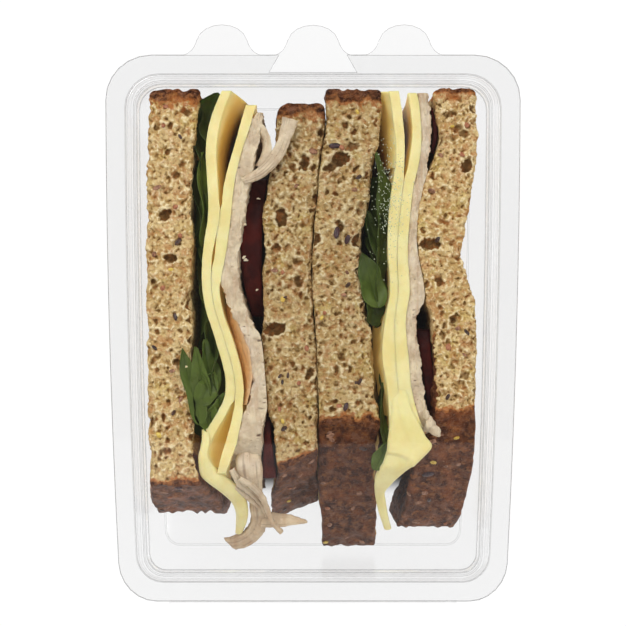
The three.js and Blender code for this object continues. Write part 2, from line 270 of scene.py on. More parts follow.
def rough_noise(points, grain, seed, octaves=3, gain=0.5):
    total = np.zeros(len(points))
    size = 1.0
    for octave in range(octaves):
        total += size * lattice_noise(points, grain / 2 ** octave, seed + octave * 17)
        size *= gain
    return total


def noises(points, seed, rows):
    """A sum of smooth noises. Each row: height, size of its features, its seed, octaves and gain."""
    return sum(height * rough_noise(points, grain, seed + own, octaves, gain)
               for height, grain, own, octaves, gain in rows)


def smooth_step(low, high, value):
    share = np.clip((value - low) / (high - low), 0, 1)
    return share * share * (3 - 2 * share)


# the height in mm from which the window presses on the food, and how far the food may still rise past it
PRESSED_FROM, PRESSED_ROOM = 62.1, 0.55


def under_window(points):
    """Presses whatever would reach the lid's window down a little, so that it stays just below."""
    over = np.maximum(points[:, 2] / MM - PRESSED_FROM, 0)
    points[:, 2] -= (over - PRESSED_ROOM * (1 - np.exp(-over / PRESSED_ROOM))) * MM
    return points


def make_mesh(name, points, faces, material, attributes=()):
    mesh = bpy.data.meshes.new(name)
    mesh.vertices.add(len(points))
    mesh.vertices.foreach_set("co", np.asarray(points, np.float32).ravel())
    corners = faces.shape[1]
    mesh.loops.add(faces.size)
    mesh.loops.foreach_set("vertex_index", faces.ravel().astype(np.int32))
    mesh.polygons.add(len(faces))
    mesh.polygons.foreach_set("loop_start", np.arange(0, faces.size, corners, dtype=np.int32))
    mesh.update(calc_edges=True)
    all_smooth(mesh)
    for key, values in dict(attributes).items():
        layer = mesh.attributes.new(key, "FLOAT", "POINT")
        layer.data.foreach_set("value", np.asarray(values, np.float32))
    mesh.materials.append(material)
    mesh.validate()
    return linked(name, mesh)


def all_smooth(mesh):
    mesh.polygons.foreach_set("use_smooth", np.full(len(mesh.polygons), True))


def cad_copy(node, name, materials, change=lambda work: None):
    """A copy of a CAD solid, with its doubled points merged and its faces changed."""
    mesh = frame["nodes"][node].data.copy()
    with editing(mesh) as work:
        bmesh.ops.remove_doubles(work, verts=work.verts, dist=SAME_POINT)
        change(work)
    mesh.materials.clear()
    for material in materials:
        mesh.materials.append(material)
    return linked(name, mesh)


@contextmanager
def editing(mesh):
    """The mesh opened for work on its corners, edges and faces."""
    work = bmesh.new()
    work.from_mesh(mesh)
    yield work
    work.to_mesh(mesh)
    work.free()


def outward(piece):
    """Turns every face of a closed mesh to face out."""
    with editing(piece.data) as work:
        bmesh.ops.recalc_face_normals(work, faces=work.faces)


def modify(piece, kind, **settings):
    """Adds a modifier and applies it."""
    modifier = piece.modifiers.new(kind, kind)
    for key, value in settings.items():
        setattr(modifier, key, value)
    with bpy.context.temp_override(object=piece, active_object=piece, selected_objects=[piece]):
        bpy.ops.object.modifier_apply(modifier=modifier.name)


def surface(mesh):
    """The points of a mesh, and the way out at each."""
    found = []
    for key in ("co", "normal"):
        values = np.empty(len(mesh.vertices) * 3)
        mesh.vertices.foreach_get(key, values)
        found.append(values.reshape(-1, 3))
    return found


def joined(parts):
    """Several (points, faces) as one."""
    starts = np.cumsum([0] + [len(points) for points, _ in parts])
    faces = [numbers + start for (_, numbers), start in zip(parts, starts)]
    return np.concatenate([points for points, _ in parts]), np.concatenate(faces)


def finish_piece(piece, node, body="tray"):
    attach(piece, body)
    if node:
        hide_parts(node)


def number_grid(here, first, second):
    """The numbers of the points here, laid out by two of their lattice numbers."""
    grid = np.full((first[here].max() + 1, second[here].max() + 1), -1)
    grid[first[here], second[here]] = np.nonzero(here)[0]
    return grid


def quads(sheet, flip=False):
    """The quads of a grid of point numbers."""
    a, b, c, d = sheet[:-1, :-1], sheet[1:, :-1], sheet[1:, 1:], sheet[:-1, 1:]
    ring = [a, d, c, b] if flip else [a, b, c, d]
    return np.stack([corner.ravel() for corner in ring], axis=1)


def box_lattice(counts):
    """Surface of a box lattice: the (across, along, down) numbers of its points, and its quads facing out.

    across is +X, along is +Y, and down is -Z, so level 0 is the top.
    """
    across, along, down = counts
    shape = (across + 1, along + 1, down + 1)
    number = np.full(shape, -1)
    shell = np.zeros(shape, bool)
    shell[[0, -1]] = True
    shell[:, [0, -1]] = True
    shell[:, :, [0, -1]] = True
    number[shell] = np.arange(shell.sum())
    spots = np.argwhere(shell)
    faces = [quads(number[:, :, 0]), quads(number[:, :, -1], True), quads(number[0]),
             quads(number[-1], True), quads(number[:, 0], True), quads(number[:, -1])]
    return spots, np.concatenate(faces)


LEVELS = {"bread": 5, "cheese": 4, "turkey": 4}


def kind_of(name):
    return name.split("_")[0]


def station_table(node):
    """The corners of a CAD layer: [level, station] -> (y, left x, right x, z), level 0 at the cut."""
    levels = LEVELS[kind_of(node)]
    points = np.array([vertex.co[:] for vertex in frame["nodes"][node].data.vertices])
    points = np.unique(np.round(points, 6), axis=0)
    heights = points[:, 2]
    order = np.sort(np.unique(np.round(heights, 5)))[::-1]
    if len(order) != levels:
        raise ValueError(f"{node} has {len(order)} levels, not {levels}")
    table = []
    for height in order:
        level = points[np.abs(heights - height) < SAME_LEVEL]
        rows = []
        for y in np.unique(np.round(level[:, 1], 5)):
            row = level[np.abs(level[:, 1] - y) < SAME_STATION, 0]
            rows.append((y, row.min(), row.max(), height))
        table.append(rows)
    return np.array(table)


def along_spline(table, places):
    """Reads a table at places 0..1 along its first axis, on a smooth curve through its rows."""
    count = len(table)
    spot = np.clip(np.asarray(places) * (count - 1), 0, count - 1)
    low = np.minimum(spot.astype(int), count - 2)
    share = (spot - low).reshape((-1,) + (1,) * (table.ndim - 1))
    before, after = np.maximum(low - 1, 0), np.minimum(low + 2, count - 1)
    p0, p1, p2, p3 = table[before], table[low], table[low + 1], table[after]
    slope1, slope2 = (p2 - p0) / 2, (p3 - p1) / 2
    cube, square = share ** 3, share ** 2
    return ((2 * cube - 3 * square + 1) * p1 + (cube - 2 * square + share) * slope1
            + (3 * square - 2 * cube) * p2 + (cube - square) * slope2)


class Layer:
    """A layer of the sandwich, with a finer surface than its CAD solid's but the same shape."""

    def __init__(self, node, across, along, down):
        self.spots, self.faces = box_lattice((len(across) - 1, len(along) - 1, len(down) - 1))
        table = along_spline(station_table(node), down)
        self.sides = along_spline(table.transpose(1, 0, 2), along)
        u, v, w = self.spots.T
        side = self.sides[v, w]
        self.share = np.asarray(across)[u]
        self.left, self.right = side[:, 1], side[:, 2]
        x = self.left * (1 - self.share) + self.right * self.share
        self.points = np.stack([x, side[:, 0], side[:, 3]], axis=1)


PRESSED_INSIDE, PRESSED_FADE = 3, 4            # mm over which the touch sets in from an end, and fades out
PRESSED = [
    # the layer on the left and on the right, the gap that closes and that stays open, and from which y to
    # which, in mm
    ("cheese_slice_1", "cheese_slice_2", 0.62, 0.9, -99, 99),
    ("cheese_slice_2", "turkey_slice_1", 0.62, 1.1, -99, 99),
    ("cheese_slice_3", "cheese_slice_4", 0.62, 1.0, -99, 99),
    ("cheese_slice_4", "turkey_slice_2", 0.62, 1.1, -99, 99),
    ("bread_slice_2", "bread_slice_3", 1.0, 1.6, -99, 99),
    ("turkey_slice_1", "bread_slice_2", 1.3, 2.6, -99, 99),
    ("turkey_slice_2", "bread_slice_4", 2.2, 4.6, 3, 38),
]


def side_at(node, side, y, z):
    """Where a side of a CAD layer is, as x, at places (y, z), and how far inside its two ends they are."""
    table = station_table(node)
    levels = len(table)
    rows = np.array([np.interp(y, level[:, 0], level[:, 1 + side]) for level in table])
    inside = np.array([np.minimum(y - level[0, 0], level[-1, 0] - y) for level in table])
    spot = np.interp(-z, -table[:, 0, 3], np.arange(levels))
    low = np.minimum(spot.astype(int), levels - 2)
    share, pick = spot - low, np.arange(len(y))
    return [grid[low, pick] * (1 - share) + grid[low + 1, pick] * share for grid in (rows, inside)]


def pressing(node, y, z, left, right):
    """How far each side of a layer moves out to meet its neighbour, in metres, and how firmly they touch."""
    moves, firmness = [np.zeros(len(y))] * 2, [np.zeros(len(y))] * 2
    for left_node, right_node, closed, still_open, first, last in PRESSED:
        if node not in (left_node, right_node):
            continue
        side = int(node == left_node)
        other = right_node if side else left_node
        place, inside = side_at(other, 1 - side, y, z)
        gap = (place - right if side else left - place) / MM
        firm = smooth_step(still_open, closed, gap) * smooth_step(0, PRESSED_INSIDE, inside / MM)
        firm = firm * smooth_step(first - PRESSED_FADE, first, y / MM)
        firm = firm * smooth_step(last + PRESSED_FADE, last, y / MM)
        moves[side] = firm * gap / 2 * MM
        firmness[side] = firm
    return moves, firmness


def spread(start, stop, step):
    return np.linspace(0, 1, max(int(round(abs(stop - start) / step)), 1) + 1)


def graded(count, power):
    """0 to 1 in count steps, fine at the start."""
    return np.linspace(0, 1, count + 1) ** power


# ------------------------------------------------------------------ bread

CRUMB_STEP = 0.24 * MM
SLAB_WIDTH = 14.5 * MM
PLAIN_RATIO = 0.38                 # share of the triangles kept where nothing fine is seen
PORES_IN_CRUST = 0.85              # how much the crust fills the pores
BREAD_DEPTHS = (72, 1.3)           # levels below the cut, and how much finer they are near it
TUCK = 0.03 * MM                   # how much lower each level stays than the one above it
BREADS = {
    # upright: how finely the crust is marked upward against across
    # crust: mm from the skin of its upper end where the crust starts to fade, and has gone
    # foot: how far in mm its lower end swells to the left, to the right and out, and how much lower its left
    #     side ends
    # wrap: a side that the crust covers near its lower end, and how far in mm
    # holes: the bigger ones, as share across, share along, radius in mm, stretch, turn
    # shade: painted shade, a darker colour over the whole of a slice that lies deeper in shadow
    "bread_slice_1": dict(
        seed=11, shade=1.0, upright=0.38, crust=(-0.6, 6.6), foot=(2.0, 2.4, 0.0, 0.0), wrap=(1, 9.0),
        holes=[(0.4, 0.683, 1.5, 1.2, 0.1), (0.45, 0.84, 1.0, 1.3, 0.6), (0.53, 0.574, 1.4, 1.4, 0.2),
               (0.97, 0.46, 1.2, 1.7, 1.5), (0.96, 0.255, 1.5, 1.2, 1.4), (0.4, 0.087, 1.0, 1.9, 0.0),
               (0.96, 0.12, 1.2, 1.2, 1.2)]),
    "bread_slice_2": dict(
        seed=23, shade=0.83, upright=0.42, crust=(0.9, 7.0), foot=(2.2, 0.0, -0.4, 5.2),
        holes=[(0.2, 0.373, 1.9, 2.1, 0.15), (0.36, 0.684, 1.7, 1.6, 1.5), (0.68, 0.835, 1.5, 1.4, 1.2),
               (0.25, 0.6, 1.2, 1.3, 0.4), (0.85, 0.25, 1.2, 1.5, 0.9)]),
    "bread_slice_3": dict(
        seed=37, shade=0.83, upright=0.52, crust=(0.6, 6.2), foot=(0.2, 0.8, 2.0, 0.0),
        holes=[(0.35, 0.895, 1.0, 1.0, 0.0), (0.52, 0.875, 1.0, 1.0, 0.0), (0.52, 0.83, 1.1, 2.4, 0.35),
               (0.38, 0.793, 2.0, 1.3, 0.2), (0.2, 0.769, 1.4, 2.0, 0.45), (0.57, 0.588, 1.2, 1.1, 0.0),
               (0.02, 0.551, 1.4, 1.3, 0.6), (0.98, 0.551, 1.7, 1.3, 0.9)]),
    "bread_slice_4": dict(
        seed=41, shade=1.0, upright=0.52, crust=(-1.2, 3.8), foot=(4.4, 0.4, 0.8, 0.0), wrap=(0, 16.0),
        holes=[(0.33, 0.922, 1.0, 2.0, 0.1), (0.8, 0.763, 1.7, 1.4, 0.9), (0.25, 0.524, 1.7, 2.0, 0.05),
               (0.12, 0.567, 0.9, 1.2, 0.4), (0.4, 0.97, 0.6, 3.5, 0.0), (0.5, 0.3, 1.2, 1.4, 0.7)]),
}
PORE_SIZES = [
    # pores per square millimetre, smallest and largest radius in mm
    (0.035, 0.8, 1.3),
    (0.36, 0.4, 0.8),
    (1.6, 0.24, 0.45),
]
CRUST_FOOT = (0.4, 2.6)
END_ROUND = (1.0, 1.7)             # corners at a slice's lower and upper end, in mm
CUT_SWELL = [(0.5, 10, 7, 2, 0.5), (0.42, 2.1, 8, 2, 0.5), (0.2, 0.8, 9, 2, 0.6)]
SIDE_SWELL = [(0.36, 2.0, 12, 3, 0.5), (0.36, 0.75, 13, 2, 0.5)]
PEBBLES = [(0.62, 1.3, 40), (0.5, 0.78, 43)]   # height and size in mm, and seed
PEBBLES_MEAN = 0.75
EDGE_DROP, EDGE_WIDTH = 0.4, 0.35  # how far in mm the cut face sinks towards its edges, and over how much
CUT_DROP = 0.35                    # how far in mm it lies under the solid's face
SHADED_ACROSS = 3.6                # hollows get painted shade, and ridges a painted highlight, by how far they lie from the face smoothed over so many cells
HOLE_OFFSET = -0.22                # how far the middle of a placed hole lies above the cut, as a share of it
DEEPEST, SOFTEN = 3.4, 0.5         # deepest pore in mm, and how many cells the pores are smoothed over


def stamp(depth, warp_x, warp_y, rows, pore):
    """Adds one rounded hollow to a map of depths."""
    centre_x, centre_y, radius, stretch, turn, offset = pore
    reach = 1.2 * radius * stretch + 0.6
    first, last = np.searchsorted(rows, [centre_y - reach, centre_y + reach])
    if last <= first:
        return
    across = warp_x[:, first:last] - centre_x
    along = warp_y[:, first:last] - centre_y
    major = (across * math.cos(turn) + along * math.sin(turn)) / (radius * stretch)
    minor = (along * math.cos(turn) - across * math.sin(turn)) / radius
    bulge = np.sqrt(np.maximum(1 - major ** 2 - minor ** 2, 0))
    pit = np.where(bulge > abs(offset), (bulge - offset) * radius * 1.25, 0)
    depth[:, first:last] = np.maximum(depth[:, first:last], pit)


def pebbled(x, y, size, seed):
    """Round bumps, 0 to 1, about one size across, with creases between them."""
    base = np.floor(np.stack([x, y, 0 * x], axis=-1) / size)
    nearest = np.ones(x.shape)
    for step in product((-1, 0, 1), (-1, 0, 1), (0,)):
        cell = (base + step).reshape(-1, 3)
        off_x, off_y = (lattice_noise(cell, 1, seed + turn).reshape(x.shape) / 2 + 0.5 for turn in (0, 1))
        away = np.hypot(base[..., 0] + step[0] + off_x - x / size, base[..., 1] + step[1] + off_y - y / size)
        nearest = np.minimum(nearest, away)
    return 1 - nearest ** 2


def blurred(grid, cells, pad=24):
    """A map smoothed over so many cells."""
    wide = np.pad(grid, pad, mode="reflect")
    rows = np.fft.fftfreq(wide.shape[0])[:, None]
    columns = np.fft.fftfreq(wide.shape[1])[None, :]
    fade = np.exp(-2 * (math.pi * cells) ** 2 * (rows ** 2 + columns ** 2))
    return np.fft.ifft2(np.fft.fft2(wide) * fade).real[pad:-pad, pad:-pad]


def crumb_relief(x, y, seed, holes=(), thin=1.0):
    """Depth of the pores, in mm, over a grid of places in mm on a cut face."""
    random = seeded(seed)
    flat = np.stack([x.ravel(), y.ravel(), np.zeros(x.size)], axis=1)
    sway = [0.4 * rough_noise(flat, 1.3, seed + turn, 3, 0.65).reshape(x.shape) for turn in (1, 2)]
    warp_x, warp_y = x + sway[0], y + sway[1]
    depth = np.zeros(x.shape)
    rows = y[y.shape[0] // 2]
    for across, along, radius, stretch, turn in holes:
        column = np.argmin(np.abs(rows - (rows[0] + along * (rows[-1] - rows[0]))))
        place = x[0, column] + across * (x[-1, column] - x[0, column])
        stamp(depth, warp_x, warp_y, rows, (place, rows[column], radius, stretch, turn, HOLE_OFFSET))
    for density, small, large in PORE_SIZES:
        count = int(density * thin * np.ptp(x) * np.ptp(y))
        for _ in range(count):
            radius = small + (large - small) * random.random() ** 1.6
            pore = (random.uniform(x.min(), x.max()), random.uniform(y.min(), y.max()), radius,
                    random.uniform(1, 1.5), random.uniform(0, math.pi), random.uniform(-0.25, 0.86))
            stamp(depth, warp_x, warp_y, rows, pore)
    return blurred(np.minimum(depth, DEEPEST), SOFTEN)


def make_bread(node, material, seed, shade, upright, crust, foot, holes, wrap=None):
    low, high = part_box(node)
    across = spread(0, SLAB_WIDTH, CRUMB_STEP)
    along = spread(low.y, high.y, CRUMB_STEP)
    down = graded(*BREAD_DEPTHS)
    slab = Layer(node, across, along, down)
    points = slab.points
    u, v, w = slab.spots.T
    last_u, last_v = len(across) - 1, len(along) - 1
    top = w == 0

    # how far each point lies inside the loaf's skin, and how much of the crust's colour it has
    slopes = [np.gradient(slab.sides[end, :, 0], slab.sides[end, :, 3]) for end in (0, -1)]
    from_low = (points[:, 1] - slab.sides[0, w, 0]) / np.sqrt(1 + slopes[0][w] ** 2) / MM
    from_high = (slab.sides[-1, w, 0] - points[:, 1]) / np.sqrt(1 + slopes[1][w] ** 2) / MM
    from_back = (points[:, 2] - low.z) / MM
    wander = 0.9 * rough_noise(points / MM, 3.2, seed + 5)
    crust = np.maximum(1 - smooth_step(*crust, from_high + 1.5 * wander),
                       1 - smooth_step(*CRUST_FOOT, np.minimum(from_low, from_back) + 0.8 * wander))
    if wrap:
        side, reach = wrap
        covered = smooth_step(reach + 1, reach - 1, from_low + wander)
        crust = np.where((u == side * last_u) & (w > 0), np.maximum(crust, covered), crust)

    # the slice has round corners, uneven edges, and touches its neighbour
    share, left, right = slab.share, slab.left, slab.right
    centre, half = (left + right) / 2, (right - left) / 2
    radius = np.where(from_low < from_high, *END_ROUND)
    rounded = np.clip(radius - np.minimum(from_low, from_high), 0, radius)
    inset = (radius - np.sqrt(radius ** 2 - rounded ** 2)) * MM
    points[:, 0] = centre + (points[:, 0] - centre) * (1 - inset / half)
    moves, firm = pressing(node, points[:, 1], points[:, 2], left, right)
    swell = smooth_step(15, 1, from_low) * smooth_step(1, 20, (high.z - points[:, 2]) / MM)
    to_left, to_right, out, lower_left = foot
    points[:, 0] += swell * (to_right * share - to_left * (1 - share)) * MM
    points[:, 1] -= smooth_step(18, 0, from_low) * (out + lower_left * (0.5 - share)) * MM
    flat_places = points / MM * (0, 1, 0.6)
    for number, (toward, weight) in enumerate(((1, (1 - share) ** 2), (-1, share ** 2))):
        sway = 0.28 + 0.5 * rough_noise(flat_places, 5.5, seed + 20 + number, 3)
        sway = np.maximum(sway, -0.1) * (1 - 0.75 * firm[number]) * MM
        points[:, 0] += toward * weight * (sway - moves[number])

    # the cut face
    grid = number_grid(top, u, v)
    face = points[grid]
    x, y = face[..., 0] / MM, face[..., 1] / MM
    pores = crumb_relief(x, y, seed, holes) * (1 - PORES_IN_CRUST * crust[grid])
    flat = face.reshape(-1, 3) / MM
    swell = noises(flat, seed, CUT_SWELL).reshape(x.shape)
    bent = [axis + 0.25 * rough_noise(flat, 1.1, seed + turn, 2).reshape(x.shape)
            for turn, axis in ((30, x), (31, y))]
    swell += sum(tall * pebbled(*bent, size, seed + own) for tall, size, own in PEBBLES) - PEBBLES_MEAN
    edge = np.minimum(x - x.min(axis=0), x.max(axis=0) - x)
    height = swell - pores - EDGE_DROP * np.exp(-edge / EDGE_WIDTH) - CUT_DROP
    # cavity and pit are what the bread is painted by: a painted highlight on ridges, painted shade in hollows
    # and pores
    cavity = np.zeros(len(points))
    cavity[grid] = height - blurred(height, SHADED_ACROSS)
    pit, inner = np.zeros(len(points)), np.zeros(len(points))
    pit[grid] = pores
    inner[grid] = edge

    # the loaf's flat sides, with pores too, and broken where they meet the cut
    bite = np.zeros(len(points))
    near_end = smooth_step(0.2, 3.5, np.minimum(from_low, from_high))
    for number, (column, toward) in enumerate(((0, 1), (last_u, -1))):
        side = number_grid(u == column, w, v)
        level = points[side]
        side_pores = crumb_relief(level[..., 2] / MM, level[..., 1] / MM, seed + 50 + column, thin=0.5)
        side_pores *= 1 - PORES_IN_CRUST * crust[side]
        rough = noises(level.reshape(-1, 3) / MM, seed, SIDE_SWELL)
        rough = np.maximum(rough.reshape(side.shape) + 0.1, -0.12)
        rim = np.minimum(pores[np.abs(np.arange(last_u + 1) - column) < 4].max(axis=0), 1.1)
        rim = blurred(np.tile(rim, (30, 1)), 1.2)[15]
        fade = np.exp(-(high.z - level[..., 2]) / (1.6 * MM))
        total = (rough + 0.7 * side_pores + 0.6 * rim * fade) * near_end[side]
        total *= 1 - 0.6 * firm[number][side]
        bite[side] = total * toward
        pit[side] = np.maximum(pit[side], 0.8 * side_pores)
        # the sides' hollows and ridges get painted shade and painted highlights by it too
        cavity[side[2:]] = blurred(total, 3)[2:] - total[2:]
        reach = np.exp(-np.abs(x - x[column]) / 1.8)
        points[grid.ravel(), 0] += (reach * total[0] * toward * MM).ravel()
    points[~top, 0] += bite[~top] * MM
    points[grid.ravel(), 2] += (height * MM).ravel()
    ceiling = points[grid, 2][u, v] - TUCK * w
    points[~top, 2] = np.minimum(points[:, 2], ceiling)[~top]

    # the crust is bumpy and cracked
    crackle = rough_noise(points / MM * (1, 1, upright), 2.4, seed + 14, 3, 0.6)
    for distance, toward, place in ((from_low, 1, 0), (from_high, -1, 90)):
        flat = points / MM * (1, 0, upright) + (0, place, 0)
        skin = 0.4 * rough_noise(flat, 5, seed + 15, 2) + 0.7 * np.abs(rough_noise(flat, 2.8, seed + 16, 2))
        points[:, 1] += toward * np.maximum(1.2 * skin, -0.05) * np.exp(-distance / 2.5) * MM
    outside = (v == 0) | (v == last_v) | (w == len(down) - 1)
    # on the crust this puts a painted highlight on the raised places between the cracks
    cavity[outside] = 0.6 * (0.25 - np.abs(crackle[outside]))
    points[:, 2] -= np.where(outside & ~top, 0.3 * np.abs(crackle), 0) * MM

    looks = {"crust": crust, "pit": pit, "cavity": cavity, "shade": np.full(len(points), shade),
             "upright": np.full(len(points), upright), "inner": inner}
    piece = make_mesh(node + "_crumb", points, slab.faces, material, looks)
    group = piece.vertex_groups.new(name="plain")
    group.add(np.nonzero((w > 2) & (v > 0))[0].tolist(), 1.0, "REPLACE")
    modify(piece, "DECIMATE", ratio=PLAIN_RATIO, vertex_group="plain", vertex_group_factor=4)
    piece.vertex_groups.clear()
    finish_piece(piece, node)


def bread_material():
    material, n, shader = new_material("bread", specular=0.1)
    pit, crust, cavity, shade = (n.attribute(name) for name in ("pit", "crust", "cavity", "shade"))
    fleck = n.noise(1250, 2, 0.6)
    crumb = n.paint(
        colour(192, 160, 104),
        (n.noise(260, 3), 0.38, 0.62, 1, 214, 188, 136),
        (n.noise(140, 2), 0.54, 0.7, 0.5, 202, 178, 102),
        (n.noise(600, 3), 0.54, 0.7, 0.4, 190, 146, 92),
        (fleck, 0.57, 0.68, 0.25, 240, 222, 180),
        (fleck, 0.44, 0.33, 0.35, 130, 92, 46),
        # painted highlight on the ridges, painted shade in the hollows and deep in the pores
        (cavity, 0.06, 0.5, 0.8, 246, 230, 188),
        (cavity, -0.03, -0.62, 0.95, 126, 92, 44),
        (pit, 0.3, 1.9, 0.9, 100, 68, 32))
    tall = n.add("ShaderNodeCombineXYZ", {0: 1.0, 1: 1.0, 2: n.attribute("upright")})
    place = n.add("ShaderNodeVectorMath", {0: n.place(), 1: tall}, operation="MULTIPLY").outputs[0]
    skin = n.paint(
        colour(68, 34, 18),
        (n.noise(420, 4, 0.55, place), 0.36, 0.66, 1, 114, 66, 36),
        (n.noise(180, 2, 0.55, place), 0.5, 0.66, 0.5, 140, 78, 42),
        (n.noise(290, 3, 0.55, place), 0.54, 0.66, 0.6, 136, 94, 72),
        # painted highlight on the crust's raised places
        (cavity, 0.02, 0.15, 0.35, 150, 100, 66),
        (n.noise(1300, 2, 0.55, place), 0.64, 0.7, 0.75, 30, 16, 11),
        (n.noise(1700, 2), 0.34, 0.29, 0.6, 190, 146, 116))
    blotch = n.span(n.noise(420, 4, 0.7), 0.36, 0.62)
    spread_out = n.maths("ADD", crust, n.maths("MULTIPLY", n.maths("SUBTRACT", blotch, 0.5), 0.5))
    toast = n.paint(crumb, (spread_out, 0.0, 0.5, 0.85, 170, 98, 46))
    baked = n.mix(n.span(spread_out, 0.45, 1.0), toast, skin)
    # painted shade: each slice's colour darkened by its shade
    with_painted_shade = n.mix(1.0, baked, n.add("ShaderNodeCombineColor", {0: shade, 1: shade, 2: shade}), "MULTIPLY")
    n.feed(shader.inputs["Roughness"], n.span(crust, 0.4, 0.9, 0.9, 0.5))
    grain = n.maths("ADD", n.noise(1900, 3, 0.6), n.noise(800, 3, 0.6))
    lumps = n.maths("MULTIPLY", n.maths("ADD", n.noise(520, 4, 0.7, place), n.noise(300, 2, 0.55, place)),
                    n.span(crust, 0.5, 1.0, 0, 6))
    n.finish(shader, with_painted_shade, n.maths("ADD", grain, lumps), 0.00022, 0.9)
    return material


# ------------------------------------------------------------------ cheese, turkey and tomato

SHEETS = {
    "cheese": dict(across=10, step=0.45, down=(26, 1.85), rounding=0.42, ragged=0.05),
    "turkey": dict(across=14, step=0.27, down=(30, 1.8), rounding=0.5, ragged=0.42),
}
DROOP = {
    # over how many mm a slice's lower end sinks, from where, how far, and how much it shrinks
    "cheese_slice_1": (9, -1, 6, 0),
    "cheese_slice_2": (4, -1, 1.2, 0),
    "cheese_slice_3": (17, -3, 8, 9),
    "cheese_slice_4": (13, -3, 8, 7),
    "turkey_slice_1": (14, -2, 8, 3),
    "turkey_slice_2": (8, -2, 5, 0),
}
SWAY = 0.15
CHEESE_GLOW = 0.14                 # painted glow: cheese gives off a little light below its cut, so its hidden faces are never dark


def make_sheet(node, kind, material, seed, across, step, down, rounding, ragged):
    """A slice seen edge on: rounded along its cut edge, gently waved, and torn if it is meat."""
    low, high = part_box(node)
    along = spread(low.y, high.y, step * MM)
    sheet = Layer(node, np.linspace(0, 1, across + 1), along, graded(*down))
    points, share, left, right = sheet.points, sheet.share, sheet.left, sheet.right
    u, v, w = sheet.spots.T
    deep = (sheet.sides[v, 0, 3] - points[:, 2]) / MM
    moves, firm = pressing(node, points[:, 1], points[:, 2], left, right)
    points[:, 0] += moves[1] * share - moves[0] * (1 - share)
    left, right = left - moves[0], right + moves[1]
    half = (right - left) / 2 / MM
    touch = np.where(share < 0.5, *firm)
    radius = rounding * (1 - 0.7 * touch)
    inner = np.clip(1 - deep / radius, 0, 1)
    narrow = 1 - radius / np.maximum(half, 0.2) * (1 - np.sqrt(1 - inner ** 2))
    spot = (points[:, 0] - (left + right) / 2) / MM * np.clip(narrow, 0.3, 1)
    places = points / MM
    wave = SWAY * rough_noise(places * (0, 1, 1), 9, 60, 2)
    tear = ragged * (1 - touch) * rough_noise(places, 1.3, seed + 2, 3, 0.6)
    outer = np.where(u == 0, -1.0, np.where(u == across, 1.0, 0.0))
    points[:, 0] = (left + right) / 2 + (spot + wave + outer * np.minimum(tear, 0.25 * half)) * MM
    top = w == 0
    lumps = 0.12 * rough_noise(places, 3.0, seed + 4, 2) - 0.12
    reach, start, fall, shrink = DROOP[node]
    end = smooth_step(reach, 0, (points[:, 1] - sheet.sides[0, 0, 0]) / MM - start)
    points[:, 2] -= end * fall * np.exp(-deep / 10) * MM
    points[:, 1] += end * shrink * MM
    cracks = np.zeros(len(points))
    if kind == "turkey":
        lumps += 0.34 * rough_noise(places * (1.6, 0.8, 1), 1.5, seed + 5, 3, 0.6) - 0.15
        thin = places * (0.28, 1, 1)
        slits = smooth_step(0.55, 0.8, lattice_noise(thin, 0.42, seed + 6))
        patches = smooth_step(0.1, 0.5, lattice_noise(places, 3.2, seed + 7))
        cracks = slits * patches * smooth_step(3.5, 0.5, deep)
        lumps -= 0.55 * cracks
    points[:, 2] += np.where(top, lumps, 0) * MM
    if kind == "turkey":
        points[:, 0] -= outer * 0.3 * cracks * MM
        above = points[number_grid(top, u, v), 2]
        points[~top, 2] = np.minimum(points[:, 2], above[u, v] - TUCK * w)[~top]
    # deep: depth below the cut, by which the materials paint shade, and a glow on cheese
    looks = {"deep": deep, "cracks": cracks, "leftward": np.where(u < across / 2, 1.0, 0.0)}
    finish_piece(make_mesh(node + "_fine", points, sheet.faces, material, looks), node)


def shake(piece, amount, grain, seed):
    """Moves the points of a mesh along their normals by smooth noise."""
    points, normals = surface(piece.data)
    push = amount * rough_noise(points / MM, grain, seed)
    points += normals * (push * MM)[:, None]
    piece.data.vertices.foreach_set("co", points.ravel())
    piece.data.update()


def cheese_material():
    material, n, shader = new_material("cheese", 0.42, 0.4, 0.4, (1, 0.62, 0.22), 0.0035)
    deep = n.attribute("deep")
    base = n.paint(
        colour(236, 223, 162),
        (n.noise(130, 3), 0.35, 0.65, 1, 229, 212, 144),
        # painted shade: golden, then brown, the deeper a face lies below the cut, in the shaded gaps between
        # the layers
        (deep, 0.5, 9, 1, 226, 196, 116),
        (deep, 10, 28, 1, 148, 106, 50),
        (n.noise(1500, 2), 0.66, 0.74, 0.25, 206, 176, 104))
    # painted glow: the cheese gives off light from just below its cut, fading out deep down
    shader.inputs["Emission Color"].default_value = colour(204, 168, 88)
    glow = n.maths("MULTIPLY", n.span(deep, 0.5, 4, 0, CHEESE_GLOW), n.span(deep, 20, 8))
    n.feed(shader.inputs["Emission Strength"], glow)
    n.finish(shader, base, n.maths("ADD", n.noise(700, 3), n.noise(3000, 2)), 0.00006, 0.5)
    return material


